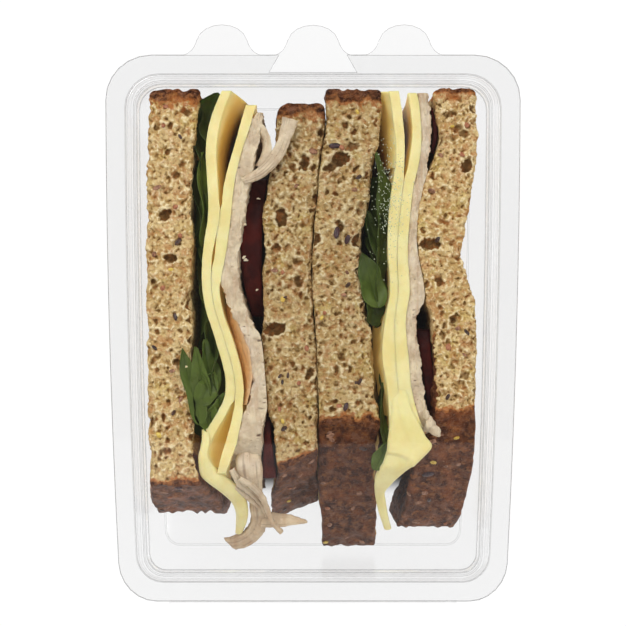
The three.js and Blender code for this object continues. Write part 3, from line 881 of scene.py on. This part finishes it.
def turkey_material():
    material, n, shader = new_material("turkey", 0.48, 0.4, 0.2, (1, 0.75, 0.5), 0.0014)
    deep, cracks, leftward = (n.attribute(name) for name in ("deep", "cracks", "leftward"))
    base = n.paint(
        colour(218, 202, 172),
        (n.noise(240, 4), 0.35, 0.66, 1, 194, 174, 146),
        (n.noise(90, 2), 0.5, 0.7, 0.6, 214, 200, 180),
        (n.noise(520, 4, 0.6, stretch=(1, 0.16, 0.2)), 0.5, 0.7, 0.55, 182, 150, 120),
        (n.noise(620, 3), 0.6, 0.74, 0.5, 236, 222, 200))
    brown = n.maths("MULTIPLY", leftward, n.span(deep, -0.3, 3))
    base = n.mix(n.maths("MULTIPLY", brown, 0.9), base, colour(208, 154, 94))
    # painted shade: darker the deeper below the cut; the fine dark specks are the meat's own
    base = n.paint(base, (deep, 5, 18, 1, 120, 78, 50), (n.noise(1500, 2), 0.68, 0.74, 0.6, 120, 84, 62))
    # painted shade in the cracks and, on loose pieces, along the lines between the fibres
    base = n.mix(n.maths("MULTIPLY", cracks, 0.85), base, colour(84, 54, 42))
    grain = n.maths("ADD", n.noise(1300, 4), n.noise(500, 3, 0.6, stretch=(1, 0.25, 0.25)))
    n.finish(shader, base, grain, 0.00016, 0.8)
    return material


def tomato_material():
    material, n, shader = new_material("tomato", 0.4, 0.13, 0.15, (1, 0.2, 0.1), 0.002)
    flesh = n.paint(
        colour(58, 12, 9),
        (n.noise(150, 3), 0.35, 0.68, 1, 88, 24, 15),
        (n.noise(420, 3, 0.5, stretch=(1, 0.3, 0.3)), 0.52, 0.7, 0.4, 104, 38, 26))
    n.finish(shader, flesh, n.noise(500, 3), 0.0002, 0.5)
    return material


DRAPES = {
    # a piece that hangs loose, and the slice it hangs from. Its rows: its left edge and its right edge, in mm
    # from the slice's top lower corner
    # each piece's depth below the cut, times its given rate, sets its painted shade, and its painted glow if
    # it is cheese
    "cheese_flap_left": dict(slice="cheese_slice_1", thick=1.7, bulge=0.5, painted_shade_rate=0.07, rows=[
        (0.4, 21.5, -1.4, 2.9, 22.0, -1.4), (0.35, 17.6, -0.5, 2.7, 17.9, -0.5),
        (-0.5, 14.5, -0.7, 2.3, 14.5, -0.7), (-0.5, 11.4, -1.5, 3.4, 11.9, -2.0),
        (0.0, 8.5, -2.6, 5.3, 9.9, -3.6), (2.4, 6.1, -4.0, 7.8, 7.8, -4.6),
        (5.4, 3.7, -6.5, 10.5, 5.1, -6.5), (8.1, 0.8, -10, 12.4, 1.9, -10),
        (9.4, -2.3, -13, 13.1, -1.8, -13), (9.4, -5.6, -17, 12.6, -5.6, -17),
        (9.1, -9.2, -21, 11.2, -9.2, -21)]),
    "cheese_fold_left": dict(slice="cheese_slice_1", thick=0.8, bulge=-0.5, painted_shade_rate=1.1, rows=[
        (8.6, 29.6, -0.9, 9.8, 29.2, -3), (6.2, 24.3, -0.9, 8.6, 23.5, -7),
        (3.9, 21.0, -0.9, 7.6, 19.0, -9), (2.3, 18.2, -1.1, 6.8, 15.5, -9),
        (2.0, 14.5, -1.6, 6.0, 12.5, -8), (3.4, 11.4, -2.6, 5.2, 10.4, -6)]),
    "cheese_flap_right": dict(slice="cheese_slice_3", thick=1.5, bulge=0.35, painted_shade_rate=0.05, rows=[
        (2.6, 34.3, -1.5, 9.2, 34.3, -1.5), (3.3, 28.8, -0.85, 9.2, 28.8, -0.85),
        (3.3, 22.9, -0.65, 11.4, 23.8, -0.65), (2.8, 18.7, -0.65, 13.4, 19.9, -0.75),
        (2.5, 15.4, -1.0, 15.1, 16.8, -1.1), (1.4, 11.6, -2.2, 10.7, 11.9, -2.0),
        (-0.2, 8.6, -4.6, 7.1, 8.6, -4.6), (-0.65, 5.5, -8, 4.5, 5.5, -8),
        (-0.5, 2.9, -12, 2.5, 2.9, -12), (0.15, -0.9, -16, 2.9, -0.9, -16),
        (1.3, -5.0, -20, 3.7, -5.0, -20), (2.7, -9.2, -24, 4.8, -8.9, -24)],
        steps=[((0.38, 0.38, 0.42, 0.56, 0.64, 0.7), 0.85), ((4.1, 4.25, 4.5, 4.8, 5.2), -0.75)]),
    "cheese_lean_top": dict(slice="cheese_slice_3", thick=0.7, bulge=-0.4, painted_shade_rate=1.7, rows=[
        (0.7, 116.3, -2.5, 4.1, 116.3, -0.9), (0.3, 111.5, -9, 4.4, 111.5, -0.9),
        (0.2, 106, -13, 4.9, 106, -0.9), (0.2, 100, -16, 5.0, 100, -1.0), (0.4, 95, -20, 4.7, 95, -1.4)]),
    "cheese_lean_middle": dict(slice="cheese_slice_3", thick=0.7, bulge=-0.6, painted_shade_rate=1.0, rows=[
        (-1.0, 54.0, -16, 2.7, 54.0, -1.5), (-1.2, 48.3, -13, 2.0, 48.3, -0.9),
        (-1.0, 42.3, -12, 1.7, 42.3, -0.8), (-0.4, 36.3, -12, 2.4, 36.3, -0.8),
        (0.8, 30.3, -12, 3.2, 30.3, -0.9), (2.0, 25, -14, 3.4, 25, -1.2)]),
    "turkey_strip": dict(slice="turkey_slice_1", thick=0.9, bulge=0.45, rows=[
        (16.8, 111.3, -0.4, 21.3, 110.2, -0.9), (16.3, 108.2, -0.4, 19.9, 106.6, -0.9),
        (15.4, 104.9, -0.4, 18.5, 103.2, -0.9), (14.0, 102.1, -0.5, 17.1, 100.1, -0.9),
        (12.1, 99.3, -0.4, 14.6, 97.0, -0.8), (9.5, 96.7, -0.2, 11.8, 94.5, -0.5),
        (7.0, 95.0, 0.1, 8.7, 93.1, -0.1), (5.0, 94.2, -0.2, 6.4, 92.5, -0.3)]),
    "turkey_flap": dict(slice="cheese_slice_1", thick=1.5, bulge=0.5, rows=[
        (10.6, 16.4, -6.0, 16.2, 16.4, -7.0), (9.9, 11.8, -3.3, 17.3, 11.2, -4.8),
        (10.8, 7.8, -4.9, 17.4, 7.4, -5.8), (12.4, 3.9, -10, 17.2, 3.4, -10),
        (13.4, -0.6, -13, 18.2, -1.0, -13), (13.6, -5.2, -17, 18.4, -5.8, -17),
        (11.6, -8.6, -20, 17.2, -9.6, -20), (8.0, -10.8, -23, 13.6, -13.0, -23),
        (5.6, -11.2, -25, 9.3, -14.7, -25)]),
    "turkey_shred": dict(slice="cheese_slice_1", thick=1.2, bulge=0.3, rows=[
        (16.5, -7.3, -16.0, 16.9, -2.2, -15.4), (20.6, -7.4, -16.2, 20.4, -3.0, -15.8),
        (24.6, -7.0, -16.6, 24.6, -3.6, -16.4), (30.0, -6.2, -17, 30.0, -5.4, -17)]),
    "turkey_shred_thin": dict(slice="cheese_slice_1", thick=0.9, bulge=0.3, rows=[
        (8.0, 9.8, -1.6, 9.4, 11.0, -1.6), (10.2, 5.6, -4.4, 11.8, 6.8, -4.2),
        (13.6, 2.6, -8.0, 14.8, 4.2, -7.8), (16.4, -0.8, -11, 17.6, 0.6, -11),
        (18.0, -4.2, -14, 19.2, -3.6, -14)]),
    "turkey_shred_long": dict(slice="cheese_slice_1", thick=0.9, bulge=0.3, rows=[
        (10.4, 7.2, -1.2, 11.2, 8.6, -1.2), (13.8, 5.0, -2.8, 14.8, 6.4, -2.8),
        (16.4, 1.8, -6.2, 17.8, 3.0, -6.2), (18.0, -2.2, -10, 19.4, -1.6, -10),
        (19.6, -6.2, -13.4, 21.0, -5.6, -13.4), (22.2, -9.4, -15, 23.2, -8.2, -15)]),
    "turkey_shred_low": dict(slice="cheese_slice_1", thick=1.0, bulge=0.3, rows=[
        (9.2, 4.8, -5.6, 10.4, 6.2, -5.6), (12.4, 1.4, -9.0, 13.6, 2.8, -9.0),
        (15.4, -1.2, -12, 16.4, 0.2, -12), (17.6, -3.6, -15, 18.4, -2.4, -15)]),
    "turkey_lean": dict(slice="turkey_slice_1", thick=0.6, bulge=0.2, painted_shade_rate=0.55, brown=1.0, rows=[
        (0.6, 58.6, -8, 2.6, 58.6, -1.0), (1.2, 52.9, -8, 4.8, 52.9, -0.1),
        (3.0, 47.3, -7, 6.9, 47.3, 0.2), (4.6, 41.7, -6, 8.1, 41.7, 0.3), (5.2, 36.1, -6, 8.2, 36.1, 0.2),
        (4.6, 30.5, -6, 7.0, 30.5, -0.3)]),
    "turkey_curl": dict(slice="cheese_slice_2", thick=0.8, bulge=0.9, rows=[
        (10.6, 110.4, -0.9, 10.9, 108.0, -3.0), (13.6, 108.6, -0.5, 12.2, 106.6, -3.6),
        (15.8, 105.4, -0.4, 13.8, 104.2, -4.2), (16.5, 101.6, -0.5, 14.3, 101.2, -4.4),
        (15.4, 98.2, -0.8, 13.6, 98.6, -4.0), (13.6, 95.6, -1.2, 12.2, 96.6, -3.6)]),
}


DRAPE_STEP, DRAPE_ACROSS = 0.35, 20            # length in mm of a row of faces, and faces in a row
THIN_RIM = 0.22                    # a loose piece's thickness at its rim, as a share of the rest


def make_drape(name, material, seed, slice, thick, bulge, rows, painted_shade_rate=0.16, steps=(), brown=0.22):
    """A loose piece of a slice: a soft band between two edges, thin at its rim.

    Two steps may cross it: one along it, at these shares across from row to row, and one across it, at these
    rows from its left edge to its right.
    """
    kind = kind_of(name)
    low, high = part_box(slice)
    corner = np.array((low.x, low.y, high.z))
    rows = np.array(rows, float)
    length = np.linalg.norm(np.diff(rows[:, :3], axis=0), axis=1).sum()
    along, across = int(length / DRAPE_STEP), DRAPE_ACROSS
    edges = along_spline(rows, np.linspace(0, 1, along + 1))
    left, right = edges[:, None, :3], edges[:, None, 3:]
    s = np.linspace(0, 1, across + 1)[None, :, None]
    middle = left * (1 - s) + right * s
    tangent = np.gradient((left + right) / 2, axis=0)
    side = np.cross(right - left, tangent)
    side /= np.linalg.norm(side, axis=2, keepdims=True)
    side *= np.where(side[..., 2:] < 0, -1, 1)
    arch = 4 * s * (1 - s)
    ends = np.linspace(-1, 1, along + 1)[:, None, None]
    middle = middle + side * bulge * arch
    if steps:
        row = np.linspace(0, len(rows) - 1, along + 1)[:, None]
        (places, up), (lines, down) = steps
        lengthways = np.interp(row, np.arange(len(places)), places)
        rise = up * smooth_step(-0.035, 0.035, s[..., 0] - lengthways)
        rise = rise * smooth_step(len(places), len(places) - 2, row)
        crossing = np.interp(s[..., 0], np.linspace(0, 1, len(lines)), lines)
        rise = rise * smooth_step(0.5, 2.5, row) + down * smooth_step(-0.15, 0.15, row - crossing)
        middle = middle + side * rise[..., None]
    rim = (1 - (2 * s - 1) ** 6) * (1 - ends ** 20)
    half = thick / 2 * (THIN_RIM + (1 - THIN_RIM) * np.sqrt(np.clip(rim, 0, 1)))
    spots, faces = box_lattice((across, along, 1))
    u, v, w = spots.T
    layers = np.stack([middle + side * half, middle - side * half])
    points = layers[w, v, u]
    noise = rough_noise(points, 4.5, seed, 2)[:, None] * 0.25
    points = under_window(corner + (points + side[v, 0] * noise) * MM)
    depth = (high.z - points[:, 2]) / MM
    # lines between the fibres, which the turkey material darkens with painted shade
    threads = lattice_noise(np.column_stack([0.8 * u, 0.05 * v, 0 * w]), 1, seed + 9)
    # depth here sets the painted shade, and for cheese the painted glow
    looks = {"deep": painted_shade_rate * depth + 2 * brown, "cracks": 0.5 * smooth_step(0.25, 0.8, threads),
             "leftward": np.full(len(points), brown)}
    piece = make_mesh(name + "_fine", points, faces, material, looks)
    outward(piece)
    if kind == "turkey":
        shake(piece, 0.16, 0.9, seed + 3)
    finish_piece(piece, name if name in frame["nodes"] else None)


TOMATO_FIT = (1.36, 1.1, 1.04)     # how much fuller a slice of tomato is than its CAD solid
TOMATO_CREASE = 0.8                # how sharp its rim stays
FLAT_ANGLE, SHAPE_ANGLE, RIM_ANGLE = (math.radians(angle) for angle in (40, 70, 55))


def make_tomato(node, material):
    """A smooth, finer and fuller copy of a slice of tomato."""
    def as_cage(work):
        bmesh.ops.join_triangles(work, faces=work.faces, angle_face_threshold=FLAT_ANGLE,
                                 angle_shape_threshold=SHAPE_ANGLE)
        layer = work.edges.layers.float.new("crease_edge")
        for edge in work.edges:
            if len(edge.link_faces) == 2 and edge.calc_face_angle(0) > RIM_ANGLE:
                edge[layer] = TOMATO_CREASE

    piece = cad_copy(node, node + "_fine", [material], as_cage)
    modify(piece, "SUBSURF", levels=3)
    all_smooth(piece.data)
    middle = sum(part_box(node), Vector()) / 2
    fit = Matrix.Translation(middle) @ Matrix.Diagonal((*TOMATO_FIT, 1)) @ Matrix.Translation(-middle)
    piece.data.transform(fit)
    shake(piece, 0.25, 4, 5)
    finish_piece(piece, node)


# ------------------------------------------------------------------ seeds and crumbs

def bread_spots(node, count, seed, crusty):
    """Random places on a slice's cut face or on the crust of its lower end, with the way out there."""
    mesh = bpy.data.objects[node + "_crumb"].data
    points, normals = surface(mesh)
    crust, pit, inner = np.empty((3, len(points)))
    for key, values in (("crust", crust), ("pit", pit), ("inner", inner)):
        mesh.attributes[key].data.foreach_get("value", values)
    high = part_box(node)[1]
    if crusty:
        fit = (crust > 0.9) & (normals[:, 2] > 0.25) & (points[:, 1] < 0) & (points[:, 2] < high.z - 2 * MM)
    else:
        fit = (crust < 0.1) & (pit < 0.1) & (normals[:, 2] > 0.6) & (inner > 1.6)
    chosen = seeded(seed).choice(np.nonzero(fit)[0], count, replace=False)
    return points[chosen], normals[chosen]


def pebble(radii, seed, rough, cuts=2):
    work = bmesh.new()
    bmesh.ops.create_icosphere(work, subdivisions=cuts, radius=1)
    points = np.array([vertex.co[:] for vertex in work.verts])
    faces = np.array([[vertex.index for vertex in face.verts] for face in work.faces])
    work.free()
    points *= (1 + rough * rough_noise(points, 0.9, seed, 2))[:, None] * np.array(radii)
    return points, faces


def make_bits(name, material, spots, normals, radii, seed, rough=0.1, sink=0.3, body="tray", cuts=2):
    """Many small separate bits, joined in one mesh: seeds, crumbs or drops."""
    random = seeded(seed)
    parts = []
    for index, (spot, normal) in enumerate(zip(spots, normals)):
        points, faces = pebble(np.array(radii) * random.uniform(0.7, 1.25), seed + index, rough, cuts)
        spin = Matrix.Rotation(random.uniform(0, 6.28), 3, "Z")
        turn = Vector(normal).to_track_quat("Z", "Y").to_matrix() @ spin
        lift = spot + np.array(normal) * radii[2] * (1 - 2 * sink) * MM
        parts.append((points @ np.array(turn).T * MM + lift, faces))
    points, faces = joined(parts)
    if body == "tray":
        points = under_window(points)
    finish_piece(make_mesh(name, points, faces, material), None, body)


def speckled_material(name, light, dark, roughness):
    material, n, shader = new_material(name, roughness)
    base = n.paint(colour(*dark), (n.noise(1400, 3), 0.35, 0.65, 1, *light))
    n.finish(shader, base, n.noise(3000, 2), 0.00008, 0.6)
    return material


SEEDS = [
    # name, colours, roughness, radii in mm, how many on each slice's cut face, how many on each crust
    ("flax_seeds", (84, 56, 44), (44, 28, 24), 0.35, (1.1, 0.55, 0.32), (5, 5, 4, 3), (1, 1, 1, 1)),
    ("pale_seeds", (222, 196, 96), (196, 158, 60), 0.4, (0.85, 0.55, 0.35), (2, 2, 2, 1), (0, 1, 1, 2)),
    ("red_grains", (176, 116, 80), (150, 90, 60), 0.6, (0.9, 0.7, 0.35), (5, 4, 3, 3), (1, 1, 1, 1)),
    ("dark_grains", (74, 44, 48), (42, 24, 28), 0.4, (1.5, 0.8, 0.45), (0, 1, 4, 0), (1, 0, 0, 1)),
    ("bran_flakes", (168, 122, 92), (116, 76, 54), 0.6, (1.1, 0.7, 0.18), (4, 3, 3, 4), (5, 4, 9, 10)),
]


def make_seeds():
    for number, (name, light, dark, roughness, radii, faces, crusts) in enumerate(SEEDS):
        found = [bread_spots(node, counts[place], 300 + 10 * number + place, crusty)
                 for place, node in enumerate(BREADS)
                 for crusty, counts in ((False, faces), (True, crusts)) if counts[place]]
        spots, normals = (np.concatenate(values) for values in zip(*found))
        material = speckled_material(name, light, dark, roughness)
        make_bits(name, material, spots, normals, radii, 400 + number * 50)


TURKEY_BITS = {
    # shreds beside the tomato, and torn lumps at a slice's end: radii, roughness, and places, in mm
    "turkey_shreds": ((0.55, 0.3, 0.18), 0.6, [
        (-15.4, 32.2, 59.6), (-19.4, 24.9, 60.0), (-19.4, 15.6, 60.2), (-18.9, 14.9, 60.0),
        (-15.8, 6.5, 59.6)]),
    "turkey_lumps": ((1.8, 1.3, 0.7), 0.35, [
        (31.8, -28.9, 61.0), (33.0, -31.0, 61.0), (34.2, -33.0, 60.9)]),
}


def make_turkey_bits(material):
    random = seeded(700)
    for name, (radii, rough, places) in TURKEY_BITS.items():
        spots = np.array(places) * MM
        normals = np.column_stack([random.uniform(-0.5, 0.5, (len(spots), 2)), np.ones(len(spots))])
        make_bits(name, material, spots, normals, radii, 710, rough, cuts=3)


# ------------------------------------------------------------------ leaves

LEAF_BLADES = {
    # centre as shares of the node's box, length and width in mm, heading, tilt and roll in degrees, fold and
    # paleness, partly the blade's own colour, partly painted shade: blades deep in the gaps get little
    "leaf_1": [
        ((0.5, 0.5, 0.82), 10, 8, 68, 4, 22, 0.3, 0.0), ((0.3, -0.1, 0.8), 14, 7, 95, -5, 48, 0.3, 0.2),
        ((0.1, -0.7, 0.8), 22, 9, 92, 0, 62, 0.2, 0.2)],
    "leaf_2": [
        ((0.25, 0.55, 0.94), 27, 7, 91, 2, 58, 0.3, 0.75), ((0.05, 0.4, 0.75), 30, 14, 90, 2, 80, 0.2, 0.2),
        ((0.45, 0.25, 0.92), 17, 5, 84, 4, -52, 0.3, 0.55), ((0.0, -0.6, 0.7), 34, 14, 90, 0, 82, 0.2, 0.1),
        ((0.3, -0.5, 0.9), 20, 6, 96, 0, 60, 0.3, 0.3)],
    "leaf_3": [
        ((-0.11, 0.44, 1.02), 22, 5.4, 101, 3, 24, 0.4, 0.7),
        ((0.17, 0.57, 1.0), 16, 5, 99, 2, -20, 0.45, 0.8),
        ((0.4, 0.65, 0.97), 16, 5.6, 96, 5, 36, 0.4, 0.6),
        ((0.37, 0.42, 1.0), 10, 6.4, 62, 0, 8, 0.35, 0.75),
        ((0.25, 0.2, 1.0), 13, 6, 110, -3, 16, 0.45, 0.85),
        ((0.7, 0.21, 0.99), 10, 4.6, 60, 4, 24, 0.4, 0.8),
        ((0.72, 0.6, 0.82), 24, 14, 97, 0, 72, 0.25, 0.2),
        ((0.35, 0.2, 0.84), 16, 9, 85, 3, -50, 0.3, 0.25), ((0.45, 0.98, 0.88), 14, 5, 84, 6, 52, 0.35, 0.4)],
    "leaf_4": [
        ((0.6, 0.55, 0.97), 27, 7.5, 93, 3, 48, 0.4, 0.45),
        ((0.85, 0.35, 0.85), 24, 10, 96, -3, -64, 0.3, 0.1),
        ((0.35, 0.15, 0.93), 15, 5, 104, 4, 36, 0.4, 0.35)],
    "leaf_5": [
        ((0.27, 0.52, 1.0), 16, 7, 106, 3, 12, 0.4, 0.85),
        ((0.66, 0.66, 0.93), 18, 6, 94, -4, 56, 0.4, 0.45),
        ((0.45, 0.1, 0.92), 10, 6, 76, -6, 34, 0.45, 0.3), ((0.5, 0.5, 0.75), 26, 12, 92, 0, 76, 0.2, 0.05)],
    "leaf_6": [
        ((0.6, 0.42, 0.95), 25, 4.4, 88, 2, 66, 0.35, 0.45),
        ((0.4, 0.08, 1.0), 9, 5, 66, -4, 14, 0.4, 0.75), ((0.2, 0.75, 0.8), 16, 8, 92, 0, 78, 0.2, 0.1)],
}
BLADE_GRID = (44, 18)              # faces along a blade and across it
LEAF_THICKNESS = 0.22 * MM
LEAF_CEILING = 62.3 * MM
LEAF_GLOW = 0.05                   # painted glow: the leaves give off a little light of their own


def blade(length, width, fold, seed):
    """A leaf lying flat, its tip along +X: points, faces, and how near each point is to a vein."""
    random = seeded(seed)
    along, across = BLADE_GRID
    t, s = np.meshgrid(np.linspace(0, 1, along + 1), np.linspace(-1, 1, across + 1), indexing="ij")
    outline = np.sin(math.pi * np.clip(t, 0, 1) ** 0.72) ** 0.62 + 0.05 * (1 - t)
    phase = random.uniform(0, 6.28, 4)
    ruffle = 0.11 * np.sin(10 * t + phase[0] + 1.4 * s) * np.abs(s) ** 2
    x = (t - 0.5) * length
    y = s * outline * width / 2 * (1 + 0.05 * np.sin(14 * t + phase[1]))
    z = fold * np.abs(y) ** 1.35 * 0.6 + ruffle * width
    z = z + 0.05 * length * np.sin(2.6 * t + phase[2]) + 0.02 * length * np.sin(7.1 * t + phase[3])
    side = np.abs(s)
    ribs = np.abs(((t * 7 - side * 1.5) % 1) - 0.5) * 2
    vein = np.maximum(np.exp(-(side / 0.07) ** 2), 0.55 * np.exp(-((1 - ribs) / 0.13) ** 2) * (side > 0.03))
    z = z - 0.12 * vein
    points = np.stack([x, y, z], axis=-1).reshape(-1, 3)
    return points, quads(np.arange(len(points)).reshape(t.shape)), vein.ravel()


def make_leaves(node, material, seed):
    low, high = (np.array(corner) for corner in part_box(node))
    parts, veins, pale_and_lit = [], [], []
    for index, (share, length, width, heading, tilt, roll, fold, pale) in enumerate(LEAF_BLADES[node]):
        points, faces, vein = blade(length, width, fold, seed * 10 + index)
        turn = (Matrix.Rotation(math.radians(heading), 3, "Z") @ Matrix.Rotation(math.radians(-tilt), 3, "Y")
                @ Matrix.Rotation(math.radians(roll), 3, "X"))
        points = points @ np.array(turn).T * MM + low + np.array(share) * (high - low)
        points[:, 2] = np.minimum(points[:, 2], LEAF_CEILING)
        parts.append((points, faces))
        veins.append(vein)
        pale_and_lit.append(np.full(len(points), pale))
    looks = {"vein": np.concatenate(veins), "tint": np.concatenate(pale_and_lit)}
    piece = make_mesh(node + "_blades", *joined(parts), material, looks)
    modify(piece, "SOLIDIFY", thickness=LEAF_THICKNESS)
    finish_piece(piece, node)


def leaf_material():
    material, n, shader = new_material("leaf", 0.46, 0.2, 0.12, (0.4, 1, 0.2), 0.0012)
    base = n.paint(
        colour(35, 42, 14),
        (n.noise(200, 3), 0.35, 0.65, 1, 54, 65, 20),
        # paler by each blade's paleness: partly its own colour, partly painted shade on the blades set deep
        (n.attribute("tint"), 0.1, 0.9, 1, 80, 95, 34),
        (n.noise(110, 3), 0.48, 0.66, 0.6, 42, 52, 20))
    # darker along the veins: painted shade in the creases there
    base = n.mix(n.maths("MULTIPLY", n.attribute("vein"), 0.45), base, colour(44, 56, 20))
    n.finish(shader, base, n.noise(900, 3), 0.00012, 0.5)
    # painted glow of the leaves
    shader.inputs["Emission Color"].default_value = colour(70, 84, 30)
    shader.inputs["Emission Strength"].default_value = LEAF_GLOW
    return material


# ------------------------------------------------------------------ the pack

BEVEL = 0.11 * MM
BEND_ANGLE, SHARP_ANGLE = math.radians(28), math.radians(48)
PLASTIC_IOR = 1.42
SHADOW_TINT = (0.985, 0.985, 0.985, 1)         # what the sheet takes from the light behind it
SHELL_LOOKS = {
    # light let through, the same at a glance, most gloss, roughness: of the sheet and of its bends
    # the bends let much less light through than the sheet: painted shade for the grey lines that refraction
    # gives a real bend
    "tray": ((0.982, 0.955, 0.06, 0.2), (0.66, 0.46, 0.3, 0.08)),
    "lid": ((0.982, 0.955, 0.1, 0.012), (0.66, 0.46, 0.3, 0.05)),
}


def plastic_material(name, clear, glancing, gloss_most, rough):
    """Thin clear plastic: light goes straight through, a little greyer at a glancing angle."""
    material, n, shader = new_material(name)
    n.tree.nodes.remove(shader)
    facing = n.add("ShaderNodeLayerWeight", {"Blend": 0.3}).outputs["Facing"]
    tint = n.mix(n.span(facing, 0.25, 1.0), (clear, clear, clear, 1), (glancing, glancing, glancing, 1))
    through = n.add("ShaderNodeBsdfTransparent", {"Color": tint}).outputs[0]
    gloss = n.add("ShaderNodeBsdfGlossy", {"Color": (1, 1, 1, 1), "Roughness": rough}).outputs[0]
    fresnel = n.add("ShaderNodeFresnel", {"IOR": PLASTIC_IOR}).outputs[0]
    share = n.maths("MINIMUM", fresnel, gloss_most)
    seen = n.add("ShaderNodeMixShader", {0: share, 1: through, 2: gloss}).outputs[0]
    lit = n.add("ShaderNodeBsdfTransparent", {"Color": SHADOW_TINT}).outputs[0]
    shadow = n.add("ShaderNodeLightPath").outputs["Is Shadow Ray"]
    mixed = n.add("ShaderNodeMixShader", {0: shadow, 1: seen, 2: lit})
    n.feed(n.tree.nodes["Material Output"].inputs["Surface"], mixed)
    return material


def make_shell(node, sheet_look, bend_look):
    """The moulded shell again, with the small rounds that a formed sheet has along its bends."""
    sheet = plastic_material(node + "_plastic", *sheet_look)
    bends = plastic_material(node + "_bends", *bend_look)
    piece = cad_copy(node, node + "_clear", [sheet, bends])
    modify(piece, "BEVEL", width=BEVEL, segments=2, limit_method="ANGLE", angle_limit=BEND_ANGLE, material=1,
           use_clamp_overlap=False)
    all_smooth(piece.data)
    piece.data.set_sharp_from_angle(angle=SHARP_ANGLE)
    modify(piece, "WEIGHTED_NORMAL", keep_sharp=True)
    finish_piece(piece, node, node)


HINGE = dict(half_width=0.041, y=-0.0821, low=0.0497, high=0.0506, out=0.0008, thickness=0.0003)
HINGE_COUNTS = (25, 13)            # points along the strip and round its bend


def make_hinge_web():
    """The thin bent strip that joins the two flanges along the back."""
    along, around = HINGE_COUNTS
    turns = np.linspace(-math.pi / 2, math.pi / 2, around)
    middle, half = (HINGE["low"] + HINGE["high"]) / 2, (HINGE["high"] - HINGE["low"]) / 2
    x = np.repeat(np.linspace(-HINGE["half_width"], HINGE["half_width"], along), around)
    skins = []
    for thick in (0, HINGE["thickness"]):
        y = HINGE["y"] - (HINGE["out"] - thick) * np.cos(turns)
        z = middle + (half - thick * 0.5) * np.sin(turns)
        skin = np.stack([x, np.tile(y, along), np.tile(z, along)], axis=1)
        skins.append(skin.reshape(along, around, 3))
    spots, faces = box_lattice((along - 1, around - 1, 1))
    u, v, w = spots.T
    points = np.stack(skins)[w, u, v]
    web = make_mesh("hinge_web", points, faces, plastic_material("web_plastic", *SHELL_LOOKS["tray"][0]))
    outward(web)
    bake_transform(web)


MIST = dict(count=320, middle=(0.0215, 0.032), spread=(0.0022, 0.0085), under=0.06275,
            radii=(0.16, 0.16, 0.09))


def make_droplets():
    """A patch of fine drops under the window."""
    random = seeded(900)
    places = random.normal(0, 1, (MIST["count"], 2)) * MIST["spread"] + MIST["middle"]
    spots = np.column_stack([places, np.full(len(places), MIST["under"])])
    material, _, shader = new_material("drops", 0.12)
    shader.inputs["Base Color"].default_value = colour(214, 222, 196)
    shader.inputs["Alpha"].default_value = 0.6
    make_bits("droplets", material, spots, [(0, 0, -1)] * len(spots), MIST["radii"], 901,
              0.05, 0.5, "lid", 1)


# ------------------------------------------------------------------ everything

add_camera()
add_floor()
add_light()

for shell, looks in SHELL_LOOKS.items():
    make_shell(shell, *looks)
make_hinge_web()
make_droplets()

bread = bread_material()
for name, look in BREADS.items():
    make_bread(name, bread, **look)

fillings = {"cheese": cheese_material(), "turkey": turkey_material(), "tomato": tomato_material()}
for name in frame["nodes"]:
    kind = kind_of(name)
    if kind in SHEETS and "slice" in name:
        make_sheet(name, kind, fillings[kind], 60 + int(name[-1]), **SHEETS[kind])
for name in frame["nodes"]:
    if name.startswith("tomato"):
        make_tomato(name, fillings["tomato"])
for number, (name, form) in enumerate(DRAPES.items()):
    make_drape(name, fillings[kind_of(name)], 80 + number, **form)
make_turkey_bits(fillings["turkey"])

make_seeds()
greens = leaf_material()
for number, name in enumerate(LEAF_BLADES):
    make_leaves(name, greens, 5 + number)
